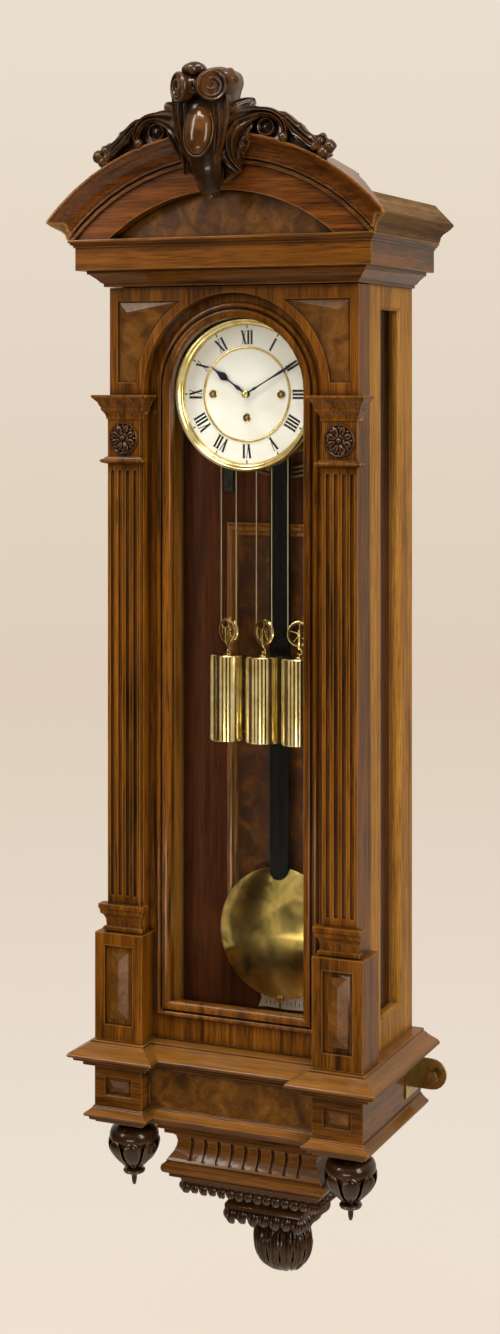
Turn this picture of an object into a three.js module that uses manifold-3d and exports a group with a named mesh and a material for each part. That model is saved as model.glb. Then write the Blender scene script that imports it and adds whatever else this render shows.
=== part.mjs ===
import * as THREE from 'three';
import { mergeVertices } from 'three/addons/utils/BufferGeometryUtils.js';
import Module from 'manifold-3d';

// Wall regulator clock with three weights, in millimetres, +Z up, front towards -Y.
// The origin lies on the wall face, on the centre line, level with the middle of the dial.

const wasm = await Module();
wasm.setup();

// Gaps between pieces, and the length by which cutting tools run past what they cut
const GAP = { seat: 0.3, door: 0.6, top: 1, overrun: 2 };

// Carcass: two side frames, a backboard, a cornice above and a base below
const BODY = { halfWidth: 173.6, depth: 150, top: 138, bottom: -829, side: 18, back: 12 };
const WINDOW = { front: 110, back: 45, top: 107, bottom: -786, rabbet: 5, seat: 6, chamfer: 4, glass: 2.5 };
const HANGER = { height: 96, hole: 8, slot: 4, rise: 14 };

// Door: frame with an arched light, a planted arched board and two pilasters
const DOOR = { frame: 20, stile: 80.6, lightBottom: -778, moulding: 20.3,
  proud: 5.5 };
const PANE = { thickness: 3, rabbet: 6, depth: 10.5 };
const BOARD = { thickness: 16, stile: 49.4, head: 8.3 };
const SPANDREL = { side: 12, top: 18, bottom: 15, archMargin: 11, recess: 3, rise: 2.5, foot: 14 };
const SHAFT = { width: 46.8, proud: 5, fluteTop: -97, fluteBottom: -645, flute: 5.6, pitch: 10.8 };
const FLUTES = { count: 4, depth: 2.4 };
const CAPITAL = { top: -1, height: 31, overhang: 16 };
const ASTRAGAL = { top: -80, height: 10, overhang: 8 };
const FOOT = { top: -655, height: 36, overhang: 9 };
const PLINTH = { top: -691, outer: 12, inner: 9, front: 12, margin: 14, panelTop: 16, panelFoot: 20,
  recess: 3.5 };
const ROSETTE = { height: -56.5, radius: 20.5, depth: 7, petals: 8 };
const HINGE = { barrel: 4, offset: 4.8, length: 64, upper: 58, lower: -620, leaf: 1.5, leafDepth: 18,
  cap: 3 };
const CATCH = { radius: 4, length: 14, reach: 2.2, height: -385, inset: 9, strike: 4.5, strikeDepth: 4 };

// Cornice and pediment, stacked upwards from the top of the carcass
const CORNICE = { lower: 20, lowerOver: 20, frieze: 29, friezeOver: 30.6, bed: 10, bedOver: 38, floor: 16,
  wall: 32 };
const CROWN = { height: 23, over: 57.6, roofRise: 26, roofInset: 25.5, setback: 6.6 };
const ARCH = { radius: 309, end: 24, crown: 24, bed: 15, fascia: 31, tail: 26.5 };

// Numbers of facets round curved pieces
const FACETS = { arch: 22, dial: 30, bob: 30, wheel: 18, oval: 14, turned: 14, limb: 9, bud: 6, pin: 8,
  flute: 4, lobe: 3 };
const TYMPANUM = { recess: 20 };

// Base, stacked downwards from the bottom of the carcass
const BASE = { torus: 32, torusOver: 39, block: 53, blockOver: 12.3, foot: 21, footOver: 23.5, recess: 20 };
const BASE_HOLLOW = { halfWidth: 104, front: 150, back: 20, roof: 16 };
const PIER_PANEL = { width: 37, height: 24, recess: 3 };
const BURL = { inset: 2, depth: 2 };

// Apron under the base, stacked downwards from the foot of the base
const APRON = { inset: 75.6, depth: 142, neck: 13, neckOver: 20, cove: 46, over: 13, torus: 19,
  torusOver: 17 };
const GROOVES = { count: 9, width: 5, depth: 3.5, span: 152, top: 27, length: 27 };
const CARVING = { height: 78, depth: 138, lobes: 9, sideLobes: 4, lobe: 2.4 };
const LOWER_CARVING = { halfWidth: 64, depth: 84 };
const POD = { height: 84, halfWidth: 40, depth: 60, lobes: 10, lobe: 2.2 };
const FINIAL = { fromFront: 31.5, ball: 32, height: 92 };
const BRACKET = { plate: 2, length: 60, height: 40, drop: 35, reach: 40, arm: 3, fromWall: 14 };
const SCREW = { radius: 3, length: 26, head: 7, headLength: 6, fromEdge: 15 };

// Crest carved in dark wood over the arch
const CREST = { above: 82, below: 81, lean: 44, halfWidth: 42, knob: 10 };
const VOLUTE = { radius: 20, length: 30, x: 17, drop: 29 };
const CABOCHON = { halfWidth: 18, halfHeight: 33, depth: 15, drop: 4 };
const SCROLL = { start: 38, inset: 8.6, front: 24, bud: 11, rise: 42 };

// Movement, measured forwards from the backboard
const MOVEMENT = { halfWidth: 62, halfHeight: 75, plate: 3, back: 59, front: 115, pillar: 4, pillarInset: 9 };
const SEAT = { plate: 3, arm: 8, armInset: 4, armHalfHeight: 60, cock: 7, cockHeight: 60, cockThickness: 8 };
const DIAL = { face: 139.5, radius: 92.5, thickness: 1.6, sink: 0.7, hole: 4, winding: 4.6, foot: 2.5,
  footX: 40, footZ: 46 };
const BEZEL = { inner: 88, outer: 99.5, front: 148.5, back: 137 };
const RING = { inner: 58.6, outer: 61.5, thickness: 1.4 };
const HAND = { thickness: 1, boss: 4.2 };
const HOUR = { front: 142.6, length: 60, halfWidth: 5 };
const MINUTE = { front: 145.4, length: 84, halfWidth: 2 };
const TIME = { hours: 10, minutes: 10 };
const ARBOR = { minute: 1.7, pipeInner: 2.2, pipeOuter: 3.1, winding: 2.6, square: 1.8, key: 140.5,
  plateHole: 3.2 };
const TRAIN = { x: 48, height: 0, centreHeight: -30, wheel: 26, wheelThickness: 2, teeth: 24, tooth: 2 };
const DRUM = { back: 69, length: 19, flange: 3, flangeThickness: 1.5 };
const ESCAPE = { height: 24, radius: 16, teeth: 30, tooth: 2.4, y: 96, thickness: 2, hub: 4 };
const PALLETS = { span: 17, drop: 15, arm: 3.5, thickness: 3, crutch: 118, crutchY: 45.5, crutchWidth: 3,
  pin: 1 };

// Pendulum behind the movement
const PENDULUM = { y: 36, axis: 62, neck: 4, neckLength: 12, top: 59.7, halfWidth: 13.5, halfDepth: 5,
  end: -643 };
const ROD_FLUTE = { count: 3, width: 4, depth: 1.5, pitch: 7.5, start: 40, stop: 30 };
const BOB = { radius: 87.5, height: -716, halfDepth: 18, rim: 1.6, tip: 822, stem: 3, nut: 6, rings: 5 };
const BEAT_PLATE = { halfWidth: 42, top: -798, height: 25, thickness: 1.5, waist: 4 };
const GONG = { turns: 3, radius: 116, pitch: 6, wire: 1.75, y: 22, steps: 24, sides: 6 };
const GONG_BLOCK = { x: 85, half: 7, wireHeight: -84, height: 56 };
const BACK_FRAME = { outer: 88, width: 17, top: -174, bottom: -764, height: 8 };
const BACK_PANEL = { thickness: 3 };

// Weights on pulleys
const WEIGHT = { x: 51, y: 87, radius: 24, top: -341, height: 113, turn: 25, bevel: 2 };
const PULLEY = { height: -310.5, radius: 16.5, groove: 14.4, halfWidth: 2.5, grooveHalf: 1.4, bore: 1.9,
  holes: 5, hole: 3.4 };
const STIRRUP = { inner: 3.2, thickness: 1.6, width: 6, pin: 1.5 };
const CABLE = { radius: 0.7, sides: 8, step: 60, turnSteps: 10, post: 2.1 };

// Planes that several pieces share, as distances in front of the wall
const doorBack = BODY.depth + GAP.door;
const doorFront = doorBack + DOOR.frame;
const boardFront = doorFront + BOARD.thickness;
const shaftFront = boardFront + SHAFT.proud;
const crownBack = shaftFront - CROWN.setback;
const doorLight = BODY.halfWidth - DOOR.stile;
const boardLight = BODY.halfWidth - BOARD.stile;
const doorTop = BODY.top - GAP.top;
const lightArch = doorTop - BOARD.head - boardLight;
const doorBottom = BODY.bottom + GAP.top;
const corniceBottom = BODY.top;
const friezeBottom = corniceBottom + CORNICE.lower;
const friezeTop = friezeBottom + CORNICE.frieze;
const corniceTop = friezeTop + CORNICE.bed;
// Arch of the pediment, which ends on the outer edges of the cornice
const archSpan = BODY.halfWidth + CROWN.over;
const archCentre = corniceTop + ARCH.end - Math.sqrt(ARCH.radius ** 2 - archSpan ** 2);
const archTop = archCentre + ARCH.radius;
const bedRadius = ARCH.radius - ARCH.crown;
const fasciaRadius = bedRadius - ARCH.bed;
const soffitRadius = fasciaRadius - ARCH.fascia;
const crestTop = archTop + CREST.above;
const crestTip = archTop - CREST.below;

const baseBottom = BODY.bottom - BASE.torus - BASE.block - BASE.foot;
const scrollEnd = BODY.halfWidth - SCROLL.inset;
const apronHalf = BODY.halfWidth - APRON.inset;
const apronBottom = baseBottom - APRON.neck - APRON.cove - APRON.torus;
const carvingBottom = apronBottom - CARVING.height;
const pierInner = BODY.halfWidth - SHAFT.width - PLINTH.inner;
const pierCentre = (pierInner + BODY.halfWidth + BASE.blockOver) / 2;

// Moulding profiles as shares of each moulding's height (from its start) and overhang
const lowerCorniceShares = [[0, 0.2], [0.2, 0.2], [0.26, 0.34], [0.5, 0.55], [0.68, 0.78], [0.76, 0.86],
  [0.8, 1], [1, 1]];
const bedShares = [[0, 0.86], [0.3, 0.86], [0.34, 0.93], [0.62, 0.95], [0.66, 1], [1, 1]];
const archBedShares = [[0, 0], [0.14, 0], [0.18, 0.55], [0.42, 0.55], [0.46, 0.2], [0.6, 0.2], [0.64, 0.8],
  [0.88, 0.8], [0.92, 1], [1, 1]];
const crownShares = [[0, 0], [0.1, 0.06], [0.28, 0.1], [0.46, 0.28], [0.62, 0.6], [0.76, 0.84], [0.86,
  0.93], [0.88, 1], [1, 1]];
const capitalShares = [[0, 0.08], [0.1, 0.1], [0.2, 0.16], [0.34, 0.34], [0.38, 0.42], [0.5, 0.42], [0.54,
  0.5], [0.7, 0.62],
  [0.82, 0.84], [0.88, 0.94], [0.9, 1], [1, 1]];
const astragalShares = [[0, 0], [0.12, 0.4], [0.28, 0.46], [0.34, 0.8], [0.52, 1], [0.72, 0.9], [0.84,
  0.6], [1, 0]];
const footShares = [[0, 1], [0.16, 1], [0.2, 0.86], [0.34, 0.8], [0.42, 0.46], [0.56, 0.2], [0.8, 0.12],
  [0.84, 0.5],
  [0.96, 0.5], [1, 0]];
const torusShares = [[0, 0.42], [0.1, 0.42], [0.15, 0.5], [0.22, 0.58], [0.3, 0.72], [0.36, 0.85], [0.42,
  0.94], [0.49, 0.99], [0.55, 1], [0.6, 0.96], [0.63, 0.84], [0.74, 0.84], [0.78, 0.6], [0.96, 0.6]];
const baseFootShares = [[0, 0.6], [0.1, 0.62], [0.26, 0.78], [0.42, 1], [0.56, 0.96], [0.62, 0.78], [0.82,
  0.74], [0.88, 0.5],
  [1, 0.5]];
const coveShares = [[0, 1], [0.16, 1], [0.18, 0.5], [0.3, 0.12], [0.44, 0], [0.58, 0.08], [0.72, 0.3],
  [0.86, 0.66],
  [0.94, 0.84], [1, 0.84]];
const apronTorusShares = [[0, 0.72], [0.12, 0.92], [0.36, 1], [0.62, 0.9], [0.74, 0.66], [0.78, 0.5], [1,
  0.5]];
const ringShares = [[0, -0.3], [0, 0.35], [0.1, 0.72], [0.26, 0.95], [0.4, 1], [0.5, 0.88], [0.55, 0.3],
  [0.61, 0.2],
  [0.66, 0.66], [0.77, 0.88], [0.88, 0.8], [0.96, 0.45], [1, 0.1], [1, -0.3]];
const frameRingShares = [[0, 0], [0, 0.4], [0.16, 0.5], [0.26, 0.9], [0.44, 1], [0.56, 0.9], [0.66, 0.5],
  [0.84, 0.6],
  [1, 0.3], [1, 0]];
const finialShares = [[0.84, 0], [0.8, 0.05], [0.58, 0.11], [0.5, 0.13], [0.74, 0.15], [0.76, 0.17], [0.86,
  0.22], [0.97, 0.3],
  [1, 0.39], [0.95, 0.48], [0.78, 0.58], [0.5, 0.66], [0.27, 0.71], [0.25, 0.74], [0.42, 0.77], [0.44,
    0.79], [0.3, 0.82],
  [0.14, 0.84], [0.11, 0.9], [0.05, 1]];
const carvingShares = [[0, 0.94], [0.04, 1], [0.14, 1.02], [0.24, 1], [0.26, 0.92]];
const lowerCarvingShares = [[0.34, 0.86], [0.56, 0.8], [0.66, 0.94], [0.76, 1.04], [0.9, 1.04], [1, 0.92]];
const podShares = [[0, 0.62], [0.08, 0.7], [0.18, 0.92], [0.34, 1], [0.52, 0.97], [0.7, 0.78], [0.84, 0.5],
  [0.94, 0.24],
  [1, 0.08]];
const crestShares = [[0, 0.14, 0.1, 0.12], [0.08, 0.3, 0.18, 0.3], [0.22, 0.56, 0.3, 0.56], [0.38, 0.8,
  0.44, 0.78],
  [0.54, 0.96, 0.6, 0.84], [0.66, 0.92, 0.7, 0.8], [0.76, 1, 0.74, 0.86], [0.88, 0.92, 0.74, 0.8], [0.94,
    0.6, 0.74, 0.5]];
const scrollShares = [[0, 0.4, 0.5], [0.2, 0.5, 0.54], [0.42, 0.48, 0.52], [0.6, 0.42, 0.46], [0.78, 0.3,
  0.36], [0.9, 0.27, 0.31],
  [1, 0.24, 0.26]];
const bezelShares = [[1, 0], [1, 0.55], [0.9, 0.8], [0.72, 0.96], [0.56, 1], [0.4, 0.86], [0.34, 0.6],
  [0.12, 0.44],
  [0, 0.34]];
const hourShares = [[0, 0.4], [0.1, 0.24], [0.42, 0.26], [0.5, 0.44], [0.58, 0.88], [0.66, 1], [0.74,
  0.72], [0.84, 0.28],
  [0.9, 0.22], [1, 0.08]];
const minuteShares = [[0, 1], [0.08, 0.6], [0.3, 0.5], [0.44, 0.95], [0.56, 1], [0.72, 0.6], [0.9, 0.5],
  [1, 0.2]];
const rosetteShares = [[1, 0], [1, 0.35], [0.78, 0.8], [0.42, 0.62], [0.3, 1], [0.06, 1.1]];
const petalShares = { from: 0.4, dip: 0.1 };

const LOOKS = {
  walnut: [0x8a5424, 0.42, 0],
  moulding: [0x6e3c18, 0.4, 0],
  sideWood: [0xa67c4c, 0.5, 0],
  burl: [0x6e5526, 0.45, 0],
  carving: [0x4a2c18, 0.5, 0],
  roofWood: [0x7c7466, 0.85, 0],
  interior: [0x4a2612, 0.6, 0],
  ebony: [0x101010, 0.35, 0],
  brass: [0xc8a850, 0.28, 1],
  steel: [0x20242c, 0.35, 1],
  silvered: [0xcfcbc0, 0.4, 0.4],
  dial: [0xf0ede2, 0.35, 0],
  glass: [0xdfe8e6, 0.05, 0],
  cord: [0xb89a58, 0.5, 0.6],
};

// Mesh helpers

/** Signed volume of an indexed geometry. */
function volumeOf(geometry) {
  const place = geometry.attributes.position;
  const index = geometry.index;
  const a = new THREE.Vector3();
  const b = new THREE.Vector3();
  const c = new THREE.Vector3();
  let sum = 0;
  for (let i = 0; i < index.count; i += 3) {
    a.fromBufferAttribute(place, index.getX(i));
    b.fromBufferAttribute(place, index.getX(i + 1));
    c.fromBufferAttribute(place, index.getX(i + 2));
    sum += a.dot(b.cross(c));
  }
  return sum;
}

/** Keep positions only, weld them, drop collapsed triangles and turn the faces outwards. */
function closed(geometry) {
  const bare = geometry.clone();
  bare.deleteAttribute('normal');
  bare.deleteAttribute('uv');
  const welded = mergeVertices(bare);
  const kept = [];
  for (let i = 0; i < welded.index.count; i += 3) {
    const [a, b, c] = [0, 1, 2].map((k) => welded.index.getX(i + k));
    if (a !== b && b !== c && a !== c) kept.push(a, b, c);
  }
  welded.setIndex(kept);
  if (volumeOf(welded) < 0) {
    for (let i = 0; i < kept.length; i += 3) [kept[i + 1], kept[i + 2]] = [kept[i + 2], kept[i + 1]];
    welded.setIndex(kept);
  }
  return welded;
}

/** A manifold solid made from a closed geometry. */
function solid(geometry) {
  const shape = closed(geometry);
  const vertProperties = new Float32Array(shape.attributes.position.array);
  const triVerts = new Uint32Array(shape.index.array);
  return new wasm.Manifold(new wasm.Mesh({ numProp: 3, vertProperties, triVerts }));
}

/** The geometry of a manifold solid. */
function geometryOf(body) {
  const mesh = body.getMesh();
  const geometry = new THREE.BufferGeometry();
  geometry.setAttribute('position', new THREE.BufferAttribute(new Float32Array(mesh.vertProperties), 3));
  geometry.setIndex(new THREE.BufferAttribute(new Uint32Array(mesh.triVerts), 1));
  return geometry;
}

function join(...geometries) {
  return geometryOf(geometries.map(solid).reduce((sum, next) => sum.add(next)));
}

function cut(geometry, ...tools) {
  return geometryOf(tools.map(solid).reduce((rest, tool) => rest.subtract(tool), solid(geometry)));
}

function common(geometry, tool) {
  return geometryOf(solid(geometry).intersect(solid(tool)));
}

/** Skin a list of rings of points, capped along a flat outline. Without one the last ring joins the first. */
function skin(rings, outline) {
  const count = rings[0].length;
  const index = [];
  const last = outline ? rings.length - 1 : rings.length;
  for (let i = 0; i < last; i += 1) {
    const next = (i + 1) % rings.length;
    for (let k = 0; k < count; k += 1) {
      const side = (k + 1) % count;
      const [a, b] = [i * count + k, i * count + side];
      const [c, d] = [next * count + side, next * count + k];
      index.push(a, b, c, a, c, d);
    }
  }
  if (outline) {
    const flat = outline.map(([x, y]) => new THREE.Vector2(x, y));
    const sense = Math.sign(THREE.ShapeUtils.area(flat));
    const end = (rings.length - 1) * count;
    for (const face of THREE.ShapeUtils.triangulateShape(flat, [])) {
      const turn = Math.sign(THREE.ShapeUtils.area(face.map((k) => flat[k])));
      const [a, b, c] = turn === sense ? face : [face[0], face[2], face[1]];
      index.push(a, c, b, end + a, end + b, end + c);
    }
  }
  const geometry = new THREE.BufferGeometry().setFromPoints(rings.flat());
  geometry.setIndex(index);
  return geometry;
}

/** Stack of plan outlines: levels hold [height, value] and planAt turns a value into [x, y] points. */
function loft(levels, planAt) {
  const rings = levels.map(([z, value]) => planAt(value).map(([x, y]) => new THREE.Vector3(x, y, z)));
  return skin(rings, planAt(levels[0][1]));
}

/** Profile levels from a table of shares, going up or down from a start height. */
function levelsOf(shares, start, rise, overhang) {
  return shares.map(([h, o]) => [start + h * rise, o * overhang]);
}

function box(x0, x1, y0, y1, z0, z1) {
  const geometry = new THREE.BoxGeometry(Math.abs(x1 - x0), Math.abs(y1 - y0), Math.abs(z1 - z0));
  return geometry.translate((x0 + x1) / 2, (y0 + y1) / 2, (z0 + z1) / 2);
}

/** Extrude an outline of [x, z] points towards the front, between two distances from the wall. */
function board(points, back, front, holes = []) {
  const shape = new THREE.Shape(points.map(([x, z]) => new THREE.Vector2(x, z)));
  for (const hole of holes) shape.holes.push(new THREE.Path(hole.map(([x, z]) => new THREE.Vector2(x, z))));
  const geometry = new THREE.ExtrudeGeometry(shape, { depth: front - back, bevelEnabled: false });
  return geometry.rotateX(Math.PI / 2).translate(0, -back, 0);
}

/** Solid of revolution about Z from [radius, height] points that start and end on the axis or close. */
function turned(points, segments = FACETS.wheel) {
  const geometry = new THREE.LatheGeometry(points.map(([r, z]) => new THREE.Vector2(r, z)), segments);
  return geometry.rotateX(Math.PI / 2);
}

/** Turned solid whose axis points from the wall to the front; heights are distances from the wall. */
function turnedForward(points, segments = FACETS.wheel) {
  return turned(points, segments).rotateX(Math.PI / 2);
}

function rod(radius, back, front, x = 0, z = 0, segments = FACETS.pin) {
  const points = [[0, back], [radius, back], [radius, front], [0, front]];
  return turnedForward(points, segments).translate(x, 0, z);
}

/** Outline of an arched light, offset outwards, as [x, z] points. */
function archedOutline(halfWidth, springing, bottom, offset = 0, steps = FACETS.arch) {
  const radius = halfWidth + offset;
  const points = [[-radius, bottom - offset], [radius, bottom - offset]];
  for (let i = 0; i <= steps; i += 1) {
    const angle = (Math.PI * i) / steps;
    points.push([radius * Math.cos(angle), springing + radius * Math.sin(angle)]);
  }
  return points;
}

function rectangle(x0, x1, z0, z1) {
  return [[x0, z0], [x1, z0], [x1, z1], [x0, z1]];
}

/** Closed ring whose section is a table of [offset, forward] shares round an outline. */
function ring(shares, width, proud, plane, outlineAt) {
  const rings = shares.map(([o, p]) => {
    const y = -(plane + p * proud);
    return outlineAt(o * width).map(([x, z]) => new THREE.Vector3(x, y, z));
  });
  return skin(rings);
}

/** Section of [radius, forward] points swept over the arch of the pediment. */
function archSweep(section, centre, from, to, steps) {
  const rings = [];
  for (let i = 0; i <= steps; i += 1) {
    const angle = from + ((to - from) * i) / steps;
    const [c, s] = [Math.cos(angle), Math.sin(angle)];
    rings.push(section.map(([r, forward]) => new THREE.Vector3(r * c, -forward, centre + r * s)));
  }
  return skin(rings, section);
}

/** Raised panel with four sloping facets that meet at a ridge, on a plane facing the front. */
function hippedPanel(x0, x1, z0, z1, plane, rise) {
  const [cx, cz] = [(x0 + x1) / 2, (z0 + z1) / 2];
  const half = Math.min(x1 - x0, z1 - z0) / 2;
  const [rx, rz] = [(x1 - x0) / 2 - half, (z1 - z0) / 2 - half];
  const foot = rectangle(x0, x1, z0, z1);
  const crown = [[-1, -1], [1, -1], [1, 1], [-1, 1]].map(([i, k]) => [cx + i * rx, cz + k * rz]);
  const rings = [[foot, plane], [crown, plane + rise]].map(([outline, forward]) => (
    outline.map(([x, z]) => new THREE.Vector3(x, -forward, z))));
  return skin(rings, foot);
}

function mirrored(geometry) {
  return closed(geometry.clone().scale(-1, 1, 1));
}

function material([color, roughness, metalness]) {
  return new THREE.MeshStandardMaterial({ color, roughness, metalness });
}

function add(parent, name, geometry, look) {
  const mesh = new THREE.Mesh(closed(geometry), material(look));
  mesh.name = name;
  parent.add(mesh);
  return mesh;
}

/** Add a left and a right copy of a piece that is built on the right-hand side. */
function addPair(parent, name, geometry, look) {
  add(parent, `${name}_left`, mirrored(geometry), look);
  add(parent, `${name}_right`, geometry, look);
}

// Carcass

function casePlan(over) {
  const x = BODY.halfWidth + over;
  const y = -(shaftFront + over);
  return [[-x, 0], [-x, y], [x, y], [x, 0]];
}

function makeBackboard() {
  const x = BODY.halfWidth - BODY.side;
  const plank = box(-x, x, -BODY.back, 0, BODY.bottom, BODY.top);
  const hole = rod(HANGER.hole, -GAP.overrun, BODY.back + GAP.overrun, 0, HANGER.height);
  const slot = box(-HANGER.slot, HANGER.slot, -BODY.back - GAP.overrun, GAP.overrun, HANGER.height,
    HANGER.height + HANGER.rise);
  return cut(plank, hole, slot);
}

/** Outline of the side window in [y, z], offset outwards. */
function windowOutline(offset) {
  return rectangle(-WINDOW.front - offset, -WINDOW.back + offset, WINDOW.bottom - offset,
    WINDOW.top + offset);
}

/** Prism between two x values whose [y, z] outline may change on the way. */
function sideways(outlines) {
  const rings = outlines.map(([x, outline]) => outline.map(([y, z]) => new THREE.Vector3(x, y, z)));
  return skin(rings, outlines[0][1]);
}

function makeSideFrame() {
  const inner = BODY.halfWidth - BODY.side;
  const outer = BODY.halfWidth;
  const plank = box(inner, outer, -BODY.depth, 0, BODY.bottom, BODY.top);
  const light = sideways([[inner - GAP.overrun, windowOutline(0)], [outer + GAP.overrun, windowOutline(0)]]);
  const rabbet = sideways([[inner - GAP.overrun, windowOutline(WINDOW.rabbet)],
    [inner + WINDOW.seat, windowOutline(WINDOW.rabbet)]]);
  const bevel = sideways([[outer - WINDOW.chamfer, windowOutline(0)], [outer, windowOutline(WINDOW.chamfer)],
    [outer + GAP.overrun, windowOutline(WINDOW.chamfer + GAP.overrun)]]);
  return cut(plank, light, rabbet, bevel);
}

function makeSideGlass() {
  const outer = BODY.halfWidth - BODY.side + WINDOW.seat - GAP.seat;
  const edge = windowOutline(WINDOW.rabbet - GAP.seat);
  return sideways([[outer - WINDOW.glass, edge], [outer, edge]]);
}

function strikeHole() {
  const x = BODY.halfWidth - CATCH.inset;
  return rod(CATCH.strike, BODY.depth - CATCH.strikeDepth, BODY.depth + GAP.overrun, x, CATCH.height);
}

function makeCornice() {
  const levels = [
    ...levelsOf(lowerCorniceShares, corniceBottom, CORNICE.lower, CORNICE.lowerOver),
    [friezeBottom, CORNICE.friezeOver],
    [friezeTop, CORNICE.friezeOver],
    ...levelsOf(bedShares, friezeTop, CORNICE.bed, CORNICE.bedOver),
  ];
  const x = BODY.halfWidth - CORNICE.wall;
  const hollow = box(-x, x, -shaftFront + CORNICE.wall, -CORNICE.wall, corniceBottom + CORNICE.floor,
    corniceTop + GAP.overrun);
  return cut(loft(levels, casePlan), hollow);
}

/** Plan of what lies behind the mitres at the front corners, widened by a margin. */
function mitrePlan(margin) {
  const x = BODY.halfWidth + margin;
  const reach = CROWN.over + GAP.overrun;
  const y = -shaftFront;
  return [[-x, -crownBack], [-x, y], [-x - reach, y - reach], [x + reach, y - reach], [x, y], [x,
    -crownBack]];
}

function makeRoof() {
  const tipX = BODY.halfWidth + CROWN.over;
  const tipZ = corniceTop + CROWN.height;
  const side = crownShares.map(([h, o]) => [
    BODY.halfWidth + CORNICE.bedOver + o * (CROWN.over - CORNICE.bedOver), corniceTop + h * CROWN.height]);
  const ridge = [tipX - CROWN.roofInset, tipZ + CROWN.roofRise];
  const right = [...side, ridge];
  const left = right.map(([x, z]) => [-x, z]).reverse();
  const block = board([...right, ...left], 0, shaftFront + CROWN.over);
  const levels = [[corniceTop - GAP.overrun, 0], [archTop, 0]];
  const notch = loft(levels, mitrePlan);
  return cut(block, notch);
}

/** Section of the arched cornice, grown by a margin, as [radius, forward] points. */
function archSection(margin) {
  const span = ARCH.radius - bedRadius;
  const crown = crownShares.map(([h, o]) => [
    bedRadius + h * span - margin,
      shaftFront + CORNICE.bedOver + o * (CROWN.over - CORNICE.bedOver) + margin]);
  const bedSpan = bedRadius - fasciaRadius;
  const bed = archBedShares.map(([h, o]) => [fasciaRadius + h * bedSpan - margin,
    shaftFront + CORNICE.friezeOver + o * (CORNICE.bedOver - CORNICE.friezeOver) + margin]);
  const soffit = soffitRadius - margin;
  const fascia = shaftFront + CORNICE.friezeOver + margin;
  const rim = ARCH.radius + margin;
  return [[soffit, crownBack - margin], [soffit, fascia], ...bed, ...crown, [rim,
    shaftFront + CROWN.over + margin],
    [rim, crownBack - margin]];
}

function makeArch(margin = 0) {
  const start = Math.asin((corniceTop - ARCH.tail - archCentre) / ARCH.radius);
  const sweep = archSweep(archSection(margin), archCentre, start, Math.PI - start, FACETS.arch);
  const levels = [[corniceTop, -GAP.seat], [archTop + GAP.overrun, -GAP.seat]];
  return common(sweep, loft(levels, mitrePlan));
}

function makeTympanum() {
  const radius = soffitRadius - GAP.seat;
  const half = Math.acos((corniceTop - archCentre) / radius);
  const points = [];
  for (let i = 0; i <= FACETS.arch; i += 1) {
    const angle = half - (2 * half * i) / FACETS.arch;
    points.push([radius * Math.sin(angle), archCentre + radius * Math.cos(angle)]);
  }
  return board(points, crownBack, shaftFront + CORNICE.friezeOver - TYMPANUM.recess);
}

// Crest

function makeCartouche() {
  const rise = crestTop - crestTip - CREST.knob;
  const steps = FACETS.oval;
  const planAt = ([width, lean, depth]) => {
    const y = -(shaftFront + CROWN.over - VOLUTE.radius / 2 + lean * CREST.lean);
    return Array.from({ length: steps }, (unused, i) => {
      const angle = (2 * Math.PI * i) / steps;
      return [width * CREST.halfWidth * Math.cos(angle), y + depth * CREST.lean * Math.sin(angle)];
    });
  };
  const levels = crestShares.map(([h, width, lean, depth]) => [crestTip + h * rise, [width, lean, depth]]);
  const stem = loft(levels, planAt);
  const forward = shaftFront + CROWN.over + CREST.lean - CABOCHON.depth;
  const stone = new THREE.SphereGeometry(1, FACETS.oval, FACETS.limb);
  stone.scale(CABOCHON.halfWidth, CABOCHON.depth, CABOCHON.halfHeight);
  stone.translate(0, -forward, archTop - CABOCHON.drop);
  const volutes = [-1, 1].map((side) => {
    const barrel = new THREE.CylinderGeometry(VOLUTE.radius, VOLUTE.radius, VOLUTE.length, FACETS.turned);
    barrel.rotateZ((side * Math.PI) / 4);
    return barrel.translate(side * VOLUTE.x, -forward + VOLUTE.radius / 2, crestTop - VOLUTE.drop);
  });
  const knob = new THREE.SphereGeometry(CREST.knob, FACETS.limb, FACETS.pin);
  knob.translate(0, -forward - CREST.knob / 2, crestTop - CREST.knob);
  const behind = box(-CREST.halfWidth * 2, CREST.halfWidth * 2,
    -shaftFront - CORNICE.friezeOver - GAP.seat, 0, 0,
    archTop);
  return cut(join(stem, stone, ...volutes, knob), makeArch(GAP.seat), behind);
}

/** Round-sectioned solid along points that each carry a radius. */
function limb(points, radii, sides = FACETS.limb) {
  const curve = new THREE.CatmullRomCurve3(points);
  const steps = points.length * 2;
  const frames = curve.computeFrenetFrames(steps, false);
  const rings = [];
  for (let i = 0; i <= steps; i += 1) {
    const share = i / steps;
    const place = curve.getPoint(share);
    const at = share * (radii.length - 1);
    const low = Math.min(Math.floor(at), radii.length - 2);
    const radius = THREE.MathUtils.lerp(radii[low], radii[low + 1], at - low);
    rings.push(Array.from({ length: sides }, (unused, k) => {
      const angle = (2 * Math.PI * k) / sides;
      return place.clone()
        .addScaledVector(frames.normals[i], radius * Math.cos(angle))
        .addScaledVector(frames.binormals[i], radius * Math.sin(angle));
    }));
  }
  const cap = Array.from({ length: sides }, (unused, k) => {
    const angle = (2 * Math.PI * k) / sides;
    return [Math.cos(angle), Math.sin(angle)];
  });
  return skin(rings, cap);
}

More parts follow.
